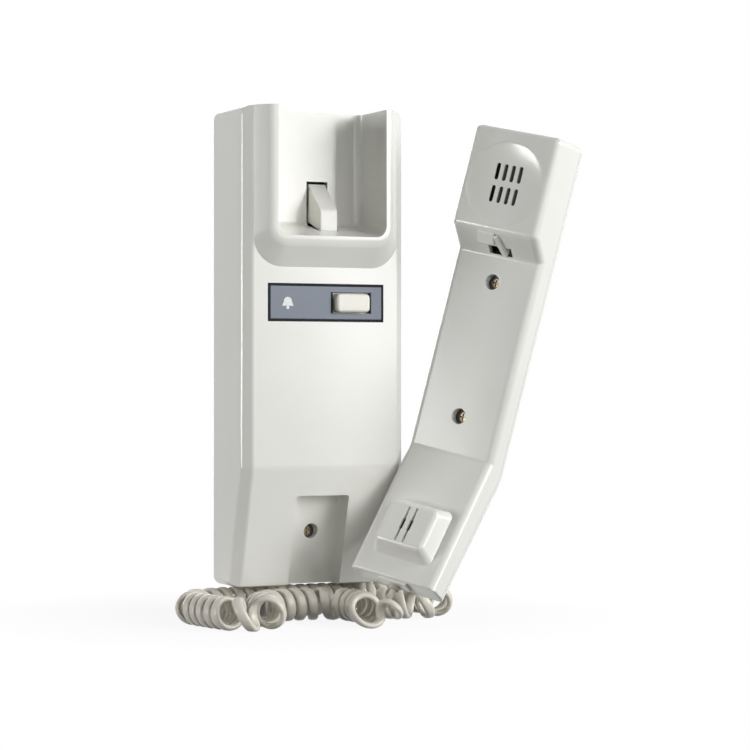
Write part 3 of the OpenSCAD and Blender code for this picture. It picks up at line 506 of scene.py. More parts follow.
class Palette:
    """The finishes of the whole part, each made once."""

    FINISHES = {
        # Moulded ABS from a polished tool: smooth, with clear reflections along its edges.
        "abs": Finish("abs_warm_white", "e9e9e3", "ecece7", (0.13, 0.2), 60.0, 0.3, 0.03, ior=1.54),
        # The same plastic, warmer in tone and dulled by fingers.
        "abs_button": Finish("abs_cream_button", "e6e3d8", "e9e7dd", (0.26, 0.34), 12.0, 0.3, 0.05, ior=1.54),
        # The same plastic where the handset rubs it: no clear reflections.
        "abs_lever": Finish("abs_rubbed_white", "e4e4dd", "e8e8e2", (0.36, 0.46), 10.0, 0.3, 0.06, ior=1.54),
        # ABS from a spark-eroded tool: dull and slightly rough.
        "abs_back": Finish("abs_back_plate", "c9c9c3", "cfcfc9", (0.4, 0.5), 40.0, 0.5, 0.12, ior=1.54, flat=True),
        # Grained aluminium, anodised: an even satin that sparkles a little.
        "plate": Finish("anodised_grey_plate", "6e7784", "78808c", (0.38, 0.5), 0.5, 0.22, 0.25, specular=0.45),
        # Screen-printed ink: flat, without gloss.
        "print": Finish("white_print", "eceeed", "e2e4e4", (0.45, 0.55), 3.0, 0.2, 0.05),
        # Extruded soft PVC: a waxy sheen along each curl.
        "cord": Finish("cord_cream_pvc", "dad5c8", "e2ded3", (0.28, 0.38), 25.0, 0.4, 0.06, ior=1.53),
        # Moulded rubber: dull and even.
        "boot": Finish("boot_grey_rubber", "b9b4a8", "c2bdb2", (0.5, 0.6), 6.0, 0.3, 0.12, ior=1.52),
        # Steel with a yellowish passivation: a warm metal with clear highlights.
        "steel": Finish("passivated_steel", "7d7160", "978a76", (0.26, 0.4), 1.5, 0.15, 0.12, metallic=1.0),
        # Drawn spring wire: a bright grey metal.
        "spring": Finish("spring_steel", "8d9094", "a2a5a8", (0.25, 0.35), 1.0, 0.12, 0.08, metallic=1.0),
        # Turned brass: yellow, with fine tool marks.
        "brass": Finish("turned_brass", "b08d4a", "c09c58", (0.25, 0.36), 1.5, 0.15, 0.1, metallic=1.0),
        # Black phenolic resin: near black, with a weak sheen. On the rings around the casing screws it is painted
        # shade.
        "black": Finish("black_phenolic_and_well_shade", "17181a", "1f2022", (0.35, 0.5), 4.0, 0.25, 0.12, ior=1.6),
        # Red nylon: slightly waxy.
        "red": Finish("red_nylon", "9c2a22", "a8332a", (0.35, 0.45), 4.0, 0.25, 0.08, ior=1.53),
        # Fibreglass board under green resist: glossy, with a faint weave.
        "board": Finish("green_fibre_board", "1f5a3c", "286a48", (0.3, 0.42), 3.0, 0.4, 0.12, ior=1.55),
        # Grey polyamide: dull.
        "terminal": Finish("grey_terminal_plastic", "3c4244", "454c4e", (0.4, 0.5), 5.0, 0.3, 0.1, ior=1.53),
        # Open-celled foam rubber: it swallows nearly all light. In the plate's groove and the button's window it is
        # painted shade.
        "foam_and_gap_shade": Finish("dark_foam_and_gap_shade", "26262a", "303034", (0.8, 0.9), 1.2, 0.5, 0.5, specular=0.2),
        # Thin PVC insulation: even tan.
        "lead": Finish("lead_tan_pvc", "b79c77", "c2a883", (0.35, 0.45), 8.0, 0.3, 0.06, ior=1.53),
    }

    def __init__(self) -> None:
        """Builds every material."""
        self.made = {key: finish.make() for key, finish in self.FINISHES.items()}

    def paint(self, piece: Solid, key: str) -> None:
        """Gives a piece one material all over.

        Args:
            piece: The piece to paint.
            key: The material's key.
        """
        mesh = piece.item.data
        mesh.materials.clear()
        mesh.materials.append(self.made[key])
        for polygon in mesh.polygons:
            polygon.material_index = 0

    def dress(self, piece: Solid, key: str, body: str, node: str = "", slot: str = "") -> None:
        """Paints a finished piece, puts it on its body and reports it.

        Args:
            piece: The finished piece.
            key: Key of its material.
            body: The body that it moves with.
            node: The CAD node that it takes the place of, if any.
            slot: The name of a material slot; it is not used.
        """
        self.paint(piece, key)
        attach(piece.item, body)
        if node:
            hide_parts(node)
        log.info("%s: %d faces on %s", piece.item.name, len(piece.item.data.polygons), body)


@dataclass
class Camera:
    """The photograph's view."""

    place: Triple = (-457.3, -1026.3, -12.3)  # where the lens stands
    heading: float = 25.963  # turn to the right of straight ahead, in degrees
    sensor: float = 36  # width of the sensor
    lens: float = 115.87  # focal length
    near: float = 50  # nothing closer than this is seen

    def build(self) -> None:
        """Adds the camera and looks through it."""
        ahead = (math.pi / 2, 0, -math.radians(self.heading))
        bpy.ops.object.camera_add(location=Vector(self.place) * MM, rotation=ahead)
        camera = bpy.context.object
        camera.name = "photo_camera"
        camera.data.sensor_width = self.sensor
        camera.data.lens = self.lens
        camera.data.clip_start = self.near * MM
        bpy.context.scene.camera = camera


@dataclass
class Assembly:
    """A sub-assembly of the part."""

    palette: Palette  # the finishes


@dataclass(frozen=True)
class HandsetFrame:
    """Where the handset leans: its own frame has X across, Y towards its back and Z along the handle."""

    origin: Triple = (72.5, -66.5, 42)  # place of the frame
    heading: float = 26  # turn of the upright plane in which it leans
    lean: float = 14  # lean in that plane
    twist: float = 31  # turn about its own length
    bend: float = -92.5  # height of the bend in its face
    mouth_angle: float = 22.5  # angle between the mouth end and the handle
    screws: tuple[float, float] = (-12.5, -75.2)  # heights of its two screws

    def pose(self) -> Matrix:
        """Gives the place of the handset's frame."""
        return shift(*self.origin) @ turn(-self.heading, "Z") @ turn(self.lean, "Y") @ turn(-self.twist, "Z")

    def mouth(self) -> Matrix:
        """Gives the mouth end's frame inside the handset's."""
        return shift(0, 0, self.bend) @ turn(-self.mouth_angle, "X")


@dataclass
class CurlyCord(Assembly):
    """The flat cord, wound in curls along a route on the floor from the station to the handset."""

    width: float = 4.6  # of the flat cord
    thickness: float = 2.6
    edge: float = 0.75  # power that squares the round edges of its section; 1 for an ellipse
    curl: float = 6.2  # radius of the curls at the middle of the cord
    gap: float = 0.85  # free space between two curls
    tail: float = 11  # straight length at both ends
    grow: float = 13  # length over which the curls grow
    margin: float = 1.1  # how strongly a bend spreads the curls; 1 makes up for the crowding on its inside
    closest: float = 0.28  # strongest crowding that is made up for, as a share of the pitch
    reach: float = 1.5  # half the length over which the route's direction is taken
    bend_reach: float = 3  # half the length over which its bend is taken
    outlet_z: float = -111  # where the cord leaves the station
    inlet_z: float = -67.8  # where it enters the handset, in the mouth end's frame
    lift_knot: int = 23  # number of the route's point at which the cord is split into its two pieces
    hold: float = 6  # length after that point that still lies still
    steps: int = 10  # points of the route's curve between two of its knots
    rings: int = 1400  # number of rings along the whole cord
    sides: int = 14  # points of a ring
    crease: float = 50  # degrees from which an edge stays sharp in the shading
    floor_z: float = -116.2  # height of the curls' axis, where the route gives none
    route: Sequence[Point] = (
        (25.5, -22.5, -117.5), (28.5, -31, -116.8), (36, -39), (46, -43), (55, -38.5), (58.5, -28),
        (55, -17), (46, -10.5), (32, -8), (16, -8), (0, -8), (-20, -8), (-40, -8), (-53, -11.5),
        (-59, -22), (-58, -34), (-56, -46), (-52, -58), (-43, -62), (-35, -55), (-34, -44),
        (-31, -34.5), (-23.5, -28.5), (-11, -26.5), (1, -27.5), (9, -34), (11, -45), (10, -56),
        (6, -65.5), (8.5, -73, -117), (15, -73, -118.5), (19, -66.5, -117.5),
    )

    def __post_init__(self) -> None:
        """Lays the route's smooth curve through its knots and measures along it."""
        mouth = HandsetFrame().pose() @ HandsetFrame().mouth()
        self.end = mouth @ (Vector((0, BOOT_Y, self.inlet_z)) * MM) / MM
        down = Vector((0, 0, -1))
        back = mouth.to_3x3() @ down
        lead = [Vector((*OUTLET, self.outlet_z)) + down * (self.width * k / 2) for k in range(3)]
        middle = [Vector(p if len(p) == 3 else (*p, self.floor_z)) for p in self.route]
        knots = lead + middle + [self.end + back * (self.width * k / 2) for k in (2, 1, 0)]
        last = len(knots) - 1
        self.curve = []
        for i in range(last):
            a, b, c, d = (knots[min(max(k, 0), last)] for k in range(i - 1, i + 3))
            square, cube = 2 * a - 5 * b + 4 * c - d, 3 * b - a - 3 * c + d
            for t in (k / self.steps for k in range(self.steps)):
                self.curve.append(0.5 * (2 * b + (c - a) * t + square * t**2 + cube * t**3))
        self.curve.append(knots[-1])
        self.runs = [0.0, *accumulate((b - a).length for a, b in zip(self.curve, self.curve[1:]))]
        self.length = self.runs[-1]
        self.lift_at = self.runs[(len(lead) + self.lift_knot) * self.steps]

    def along(self, s: float) -> Vector:
        """Gives the point at a length along the route.

        Args:
            s: The length.

        Returns:
            The point.
        """
        s = min(max(s, 0.0), self.length)
        high = min(bisect_right(self.runs, s), len(self.runs) - 1)
        low = high - 1
        share = (s - self.runs[low]) / max(self.runs[high] - self.runs[low], 1e-9)
        return self.curve[low].lerp(self.curve[high], share)

    def heading(self, s: float) -> Vector:
        """Gives the route's direction at a length along it."""
        s = min(max(s, self.reach), self.length - self.reach)
        return (self.along(s + self.reach) - self.along(s - self.reach)).normalized()

    def size(self, s: float) -> float:
        """Gives the radius of the curls at a length along the route.

        Args:
            s: The length.

        Returns:
            The radius.
        """
        size = self.curl
        for way in (s, self.length - s):
            share = min(max((way - self.tail) / self.grow, 0.0), 1.0)
            size *= share * share * (3 - 2 * share)
        return size

    def wind(self) -> tuple[list[Vector], list[Vector], list[float]]:
        """Winds the cord.

        Returns:
            The middle of each ring, the way from the curl's axis to it, and its length along the route.
        """
        step = self.length / self.rings
        side, phase = Vector((0, 1, 0)), 0.0
        middles, radials, places = [], [], []
        for i in range(self.rings + 1):
            s = i * step
            ahead = self.heading(s)
            side = (side - side.dot(ahead) * ahead).normalized()
            radial = side * math.cos(phase) + ahead.cross(side) * math.sin(phase)
            middles.append(self.along(s) + radial * self.size(s))
            radials.append(radial)
            places.append(s)
            s += step / 2
            bow = self.heading(s + self.bend_reach) - self.heading(s - self.bend_reach)
            bend = bow.length / (2 * self.bend_reach)
            pitch = (self.width + self.gap) / max(1 - self.margin * bend * self.curl, self.closest)
            phase += step * (2 * math.pi * self.size(s) / self.curl / pitch)
        return middles, radials, places

    def tube(self, name: str, middles: list[Vector], radials: list[Vector], low: int, high: int) -> Solid:
        """Builds the flat tube over some of the rings.

        Args:
            name: The piece's name.
            middles: Middles of all rings.
            radials: Ways from the curl's axis to them.
            low: First ring.
            high: Last ring.

        Returns:
            The piece.
        """
        points, faces = [], []
        last, count = len(middles) - 1, self.sides
        for i in range(low, high + 1):
            ahead = (middles[min(i + 1, last)] - middles[max(i - 1, 0)]).normalized()
            out = (radials[i] - radials[i].dot(ahead) * ahead).normalized()
            across = out.cross(ahead)
            for k in range(count):
                a = 2 * math.pi * k / count
                flat, crown = (math.copysign(abs(c) ** self.edge, c) / 2 for c in (math.cos(a), math.sin(a)))
                points.append((middles[i] + across * (self.width * flat) + out * (self.thickness * crown)) * MM)
        for i in range(0, (high - low) * count, count):
            for k in range(count):
                n = (k + 1) % count
                faces.append((i + k, i + count + k, i + count + n, i + n))
        if low == 0:
            faces.append(tuple(range(count)))
        if high == last:
            faces.append(tuple((high - low) * count + k for k in reversed(range(count))))
        mesh = bpy.data.meshes.new(name)
        mesh.from_pydata(points, [], faces)
        item = bpy.data.objects.new(name, mesh)
        bpy.context.scene.collection.objects.link(item)
        bpy.context.view_layer.objects.active = item
        piece = Solid(name).weld()
        bpy.ops.object.shade_smooth_by_angle(angle=math.radians(self.crease))
        return piece

    def build(self) -> None:
        """Builds the cord in two pieces: the part that lies still, on the station, and the last run."""
        middles, radials, places = self.wind()
        split = next(i for i, s in enumerate(places) if s >= self.lift_at)
        for name, low, high in (("cord_laid", 0, split), ("cord_lifted", split, self.rings)):
            piece = self.tube(name, middles, radials, low, high)
            self.palette.paint(piece, "cord")
            if low == 0:
                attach(piece.item, "station")
            else:
                start = self.along(self.lift_at + self.hold)
                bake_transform(piece.item)
            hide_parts("curly_cord")


@dataclass
class FrontCover(Assembly):
    """Moulded cover of the station: leaning lower front, raised frame around the cradle and the mouthpiece pocket."""

    half: float = 40  # half its width
    top: float = 108  # half its height
    front: float = -37  # its flat front
    wall: float = 2.2  # thickness of its walls
    bevel: float = 4  # bevel between the front and the sides
    bevel_loss: float = 0.586  # how much smaller that bevel gets for each millimetre inwards
    corner: float = 4  # radius of its corners
    least_corner: float = 0.6  # radius that is left of them inside
    crease: float = -54  # height where the front starts to lean back
    crease_round: float = 1.2  # size of the rounding there
    lean: float = 14  # how far it leans back at the bottom
    edge: float = 0.9  # rounding of the outer edges
    rim: float = -44.5  # front of the raised frame
    rim_half: float = 30  # half the width over the rim
    rim_round: float = 2.2  # rounding of the rim's outer edge
    flank: float = 5.6  # width of the slanted flank beside the rim
    foot: float = 36.2  # height where the frame rises from the front
    foot_corner: float = 13.6  # radius of the frame's lower corners on the front
    rim_corner: float = 8  # radius of the same corners on the rim
    flank_rise: float = 10.5  # height of the flank under the rim
    cradle_half: float = 26.7  # half the width of the cradle
    cradle_back: float = -17  # back wall of the cradle
    cradle_open: float = -64.5  # where the cradle's hollow ends, in front of the rim
    lip: float = 50  # height of the cradle's lip
    floor: float = 56.5  # height of the cradle's floor at the back wall
    inner_edge: float = 0.7  # rounding of the cradle's and the pocket's edges
    pocket_half: float = 13  # half the width of the pocket
    pocket_deep: float = 9  # its depth
    pocket_high: float = 42.5  # its height, along the leaning front
    pocket_round: float = 1.2  # rounding inside it
    well: Triple = (WELL_WALL, -18.3, -11.4)  # wall around the screw's well: radius and both depths
    head: Triple = (3.35, AHEAD, -13)  # the well itself
    shank: Triple = (SHANK_HOLE, AHEAD, -5)  # hole for the screw's shank
    well_front: float = -17  # depth in front of which the well's edge lies
    bed_back: float = -35.5  # floor of the plate's bed
    boot_span: tuple[float, float] = (-112, -102)  # heights between which the cord's hole is cut
    cradle_rounds: Triple = (2, 4, 5)  # roundings of its hollow: floor's back, back's sides, floor's sides
    seat: tuple[Triple, Triple] = ((-31, -36, 9.4), (31, -34.5, 31.2))  # thicker wall behind the plate
    lever_slots: Sequence[tuple[Triple, Triple]] = (  # in the cradle's wall and floor
        ((-0.8, -18, 53.3), (9.8, -13.8, 76.5)),
        ((-0.8, -30.8, 42.8), (9.8, -16, 60)),
    )
    button_window: tuple[Triple, Triple] = ((3.6, -39, 15.6), (21.2, -33, 25))

    def form(self, name: str, t: float, back: float) -> Solid:
        """Builds the station's outer form.

        Args:
            name: The form's name.
            t: How far it is moved inwards.
            back: Its back end.

        Returns:
            The form.
        """
        half, top, front = self.half - t, self.top - t, self.front + t
        piece = Solid.slab(name, (0, 0), (half, top), front, back)
        crease = Vector((0, 0, self.crease)) * MM
        piece.edit(Part.FACES, within(), lambda: bpy.ops.mesh.bisect(plane_co=crease, plane_no=(0, 0, 1)))
        lean = self.lean * (self.crease + top) / (self.crease + self.top)
        piece.push((0, lean, 0), within(y_max=front, z_max=-top))
        piece.bevel(self.bevel - self.bevel_loss * t, within(along="z", y_max=-1))
        fold = within(along="x", y_max=-1, z_min=self.crease - 1, z_max=self.crease + 1)
        piece.bevel(self.crease_round, fold, segments=3)
        outline = Solid.slab(f"{name}_outline", (0, 0), (half, top), front - 20, back)
        outline.bevel(max(self.corner - t, self.least_corner), within(along="y"), segments=6)
        return piece.combine(Join.COMMON, outline)

    def boss(self) -> Solid:
        """Builds the raised frame around the cradle.

        Returns:
            The frame as a solid.
        """
        foot = self.rim_half + self.flank
        piece = Solid.box("boss", (-foot, self.front, self.foot), (foot, self.front + 4, self.top + 20))
        piece.bevel(self.foot_corner, within(along="y", z_max=self.foot), segments=10)
        piece.draw_out((0, self.rim - self.front, 0), within(y_max=self.front))
        height = self.foot + self.foot_corner
        way = self.foot_corner - self.rim_corner
        share = self.rim_corner / self.foot_corner
        rim = within(y_max=self.rim)
        for side in (-1, 1):
            middle = Vector((side * (foot - self.foot_corner), self.rim, height)) * MM
            piece.push(
                (-side * self.flank, 0, 0), lambda p: rim(p) and p[0].z > height + 1 and p[0].x * side > 0
            )

            def corner(p: list[Vector]) -> bool:
                """Picks the points of one of the rim's corners."""
                return rim(p) and p[0].z < height + SLACK and p[0].x * side > 0

            piece.edit(
                Part.VERTS,
                corner,
                lambda: bpy.ops.transform.resize(value=(share, 1, share), center_override=middle),
            )
            piece.push((side * (way - self.flank), 0, self.flank_rise - way), corner)
        piece.round_off([Round(self.rim_round, lambda p: rim(p) and min(q.z for q in p) < self.top)], segments=4)
        return piece.combine(Join.COMMON, Solid.box("crown", (-50, -60, 0), (50, 0, self.top)))

    def hollow(self, t: float) -> Solid:
        """Builds the cradle's hollow.

        Args:
            t: How much it is widened.

        Returns:
            The hollow as a solid.
        """
        half, back, floor = self.cradle_half + t, self.cradle_back + t, self.floor - t
        piece = Solid.box("hollow", (-half, self.cradle_open, floor), (half, back, 150))
        fall = (self.floor - self.lip) / (self.cradle_back - self.rim)
        piece.push((0, 0, -fall * (back - self.cradle_open)), within(y_max=self.cradle_open, z_max=floor))
        if t == 0:
            tests = within(y_min=back, z_max=floor), within(along="z", y_min=back), within(along="y", z_max=floor)
            piece.round_off([Round(*pair) for pair in zip(self.cradle_rounds, tests)], segments=7)
        return piece

    def pocket(self, t: float) -> Solid:
        """Builds the pocket for the mouthpiece.

        Args:
            t: How much it is widened.

        Returns:
            The pocket as a solid.
        """
        slope = math.degrees(math.atan(self.lean / (self.crease + self.top)))
        up = self.pocket_high - math.hypot(self.lean, self.crease + self.top) + t
        half, deep = self.pocket_half + t, self.pocket_deep + t
        piece = Solid.box("pocket", (-half, -40, -140), (half, deep, up))
        if t == 0:
            tests = within(along="z", y_min=deep), within(y_min=deep, z_min=up), within(along="y", z_min=up)
            piece.round_off([Round(self.pocket_round, test) for test in tests])
        return piece.place(shift(0, self.front, self.crease) @ turn(slope, "X"))

    def build(self) -> None:
        """Builds and dresses the cover."""
        cover = self.form("station_cover", 0, 0).weld().plain().soften(self.edge)
        cover.combine(Join.UNION, self.boss())
        cover.combine(Join.CUT, self.hollow(0), self.pocket(0)).weld().soften(self.inner_edge)
        inside = self.form("inside", self.wall, 1)
        inside.combine(Join.CUT, self.hollow(self.wall), self.pocket(self.wall))
        cover.combine(Join.CUT, inside)
        z = POCKET_SCREW_Z
        cover.combine(Join.UNION, Solid.box("seat", *self.seat), Solid.peg("well", (0, z), *self.well))
        (left, foot), (right, top) = PLATE_BED
        cover.combine(
            Join.CUT,
            *(Solid.box("lever_slot", *corners) for corners in self.lever_slots),
            Solid.box("plate_bed", (left, self.front - 2, foot), (right, self.bed_back, top)),
            Solid.box("button_window", *self.button_window),
            Solid.peg("head_well", (0, z), *self.head),
            Solid.peg("shank_hole", (0, z), *self.shank),
            Solid.rod("boot_hole", BOOT_HOLE, *((*OUTLET, height) for height in self.boot_span)),
        )
        cover.bevel(WELL_EDGE, circle(self.head[0], z, AHEAD, self.well_front), segments=2)
        self.palette.dress(cover.smooth(), "abs", "station", "front_cover", "shell_plastic")


@dataclass
class NamePlate(Assembly):
    """Grey plate in the station's front, with a small bell printed beside the button."""

    half: tuple[float, float] = (27.5, 7.4)  # half its width and half its height
    front: float = -37  # its front face
    thickness: float = 1.5
    edge: float = 0.25  # rounding of its front edge
    window: tuple[Point, Point] = ((12.4, PLATE_Z), (10, 4.7))  # middle and half the size of the button's window
    gap: float = 0.05  # between the plate and the dark sheet around it, which paints the shade in the groove
    sunk: float = 0.15  # how far the painted-shade sheet lies behind the plate's front
    collar: tuple[float, float] = (0.9, 1.48)  # front and back of the painted-shade sheet in the window, from the plate's front
    collar_w: float = 1.2  # width of that collar at the window's ends
    bite: float = 0.02  # how far the collar reaches into the plate, and how far the painted-shade sheet stays off its bed
    bell_x: float = -19  # place of the bell
    bell_r: float = 2.0  # radius of its dome
    bell_heights: Triple = (0.4, -1.6, -2.3)  # of its dome, its rim and its clapper, from the plate's middle
    flare: float = 0.8  # how far its rim flares out at each side
    clapper_r: float = 0.75
    ink: tuple[float, float] = (-0.06, 0.2)  # front and back of the print, from the plate's front

    def plate(self) -> None:
        """Builds and dresses the plate."""
        plate = Solid.slab("name_panel", (0, PLATE_Z), self.half, self.front, self.front + self.thickness)
        plate.combine(Join.CUT, Solid.slab("window", *self.window, *THROUGH))
        plate.bevel(self.edge, within(y_max=self.front), segments=2).smooth()
        self.palette.dress(plate, "plate", "station", "name_plate", "plate_grey")

    def gap_shade(self) -> None:
        """Builds the near-black sheet that paints the shade in the groove around the plate and in the button's
        window.
        """
        (x_low, z_low), (x_high, z_high) = PLATE_BED
        back = self.front + self.thickness - self.bite
        gap_shade = Solid.box("plate_gap_shade", (x_low, self.front + self.sunk, z_low), (x_high, back, z_high))
        bed = [half + self.gap for half in self.half]
        gap_shade.combine(Join.CUT, Solid.slab("bed", (0, PLATE_Z), bed, *THROUGH))
        middle, (half_w, half_h) = self.window
        front, back = (self.front + y for y in self.collar)
        collar = Solid.slab("collar", middle, (half_w + self.bite, half_h + self.bite), front, back)
        opening = Solid.slab("opening", middle, (half_w - self.collar_w, half_h), *THROUGH)
        gap_shade.combine(Join.UNION, collar.combine(Join.CUT, opening)).smooth()
        # near-black foam finish here: painted shade in the groove and in the window
        self.palette.dress(gap_shade, "foam_and_gap_shade", "station")

    def bell(self) -> None:
        """Builds the printed bell."""
        x, r = self.bell_x, self.bell_r
        face, back = (self.front + y for y in self.ink)
        high, low, clapper_z = (PLATE_Z + height for height in self.bell_heights)
        bell = Solid.peg("printed_bell", (x, high), r, face, back)
        skirt = Solid.box("skirt", (x - r, face, low), (x + r, back, high))
        for side in (-1, 1):
            skirt.push((side * self.flare, 0, 0), lambda p: p[0].z < PLATE_Z and (p[0].x - x) * side > 0)
        clapper = Solid.peg("clapper", (x, clapper_z), self.clapper_r, face, back)
        self.palette.dress(bell.combine(Join.UNION, skirt, clapper).smooth(), "print", "station")

    def build(self) -> None:
        """Builds the plate, the sheet of painted shade around it and its print."""
        self.plate()
        self.gap_shade()
        self.bell()


@dataclass
class CallButton(Assembly):
    """Cream button with a rounded face, its flange and its stem."""

    middle: tuple[float, float] = (12.4, PLATE_Z)  # along X and Z
    half: tuple[float, float] = (8.3, 4.2)  # half its width and half its height
    front: float = -40  # its face
    corner: float = 2.2  # radius of its corners
    edge: float = 1.2  # rounding of its face
    flange: float = -34.2  # front of its flange
    flange_rim: float = 1.9  # how far the flange stands out
    flange_back: float = -33.0
    stem_r: float = 2.5  # radius of its stem
    stem_end: float = -19.6

    def build(self) -> None:
        """Builds and dresses the button."""
        button = Solid.slab("button_cap", self.middle, self.half, self.front, self.flange)
        button.round_off([Round(self.corner, within(along="y")), Round(self.edge, within(y_max=self.front))])
        rim = [half + self.flange_rim for half in self.half]
        flange = Solid.slab("flange", self.middle, rim, self.flange, self.flange_back)
        stem = Solid.peg("stem", self.middle, self.stem_r, self.flange, self.stem_end)
        button.combine(Join.UNION, flange, stem).smooth()
        self.palette.dress(button, "abs_button", "call_button", "call_button", "button_plastic")


@dataclass
class HookLever(Assembly):
    """The lever that the handset's neck presses down."""

    low: float = 0.2  # its left face
    high: float = 8.8  # its right face
    end: float = -30  # front of its blunt end
    end_low: float = 52.63  # foot of the blunt end
    end_high: float = 62.63  # top of the blunt end
    wall: float = -17  # where it leaves the cradle's wall
    foot: float = 57.7  # its foot at the wall
    top: float = 75.3  # its top at the wall
    pin: tuple[float, float] = (-9.5, 72.3)  # place of its pin, along Y and Z
    undercut: float = 1.7  # how far its foot stays in front of the pin
    hub: float = 3  # radius of its hub
    hub_inset: float = 0.05  # how far the hub stays behind the lever's sides
    bore: float = 1.31  # radius of the pin's hole

    def build(self) -> None:
        """Builds and dresses the lever."""
        y, z = self.pin
        lever = Solid.box("hook_tongue", (self.low, self.end, self.end_low), (self.high, self.wall, self.end_high))
        lever.push((0, 0, self.top - self.end_high), within(y_min=self.wall, z_min=self.end_high))
        lever.push((0, 0, self.foot - self.end_low), within(y_min=self.wall, z_max=self.end_low))
        lever.draw_out((0, y - self.wall, 0), within(y_min=self.wall))
        lever.push((0, -self.undercut, 0), within(y_min=y, z_max=self.foot))
        rounds = [
            Round(1.0, within(y_max=self.end)),
            Round(0.7, within(across="x", y_max=self.wall)),
            Round(1.2, within(y_max=self.end, z_min=self.end_high)),
        ]
        lever.round_off(rounds, segments=4)
        low, high = self.low + self.hub_inset, self.high - self.hub_inset
        lever.combine(Join.UNION, Solid.rod("hub", self.hub, (low, y, z), (high, y, z)))
        lever.combine(Join.CUT, Solid.rod("bore", self.bore, (self.low - 1, y, z), (self.high + 1, y, z))).smooth()
        self.palette.dress(lever, "abs_lever", "hook_lever", "hook_lever", "shell_plastic")


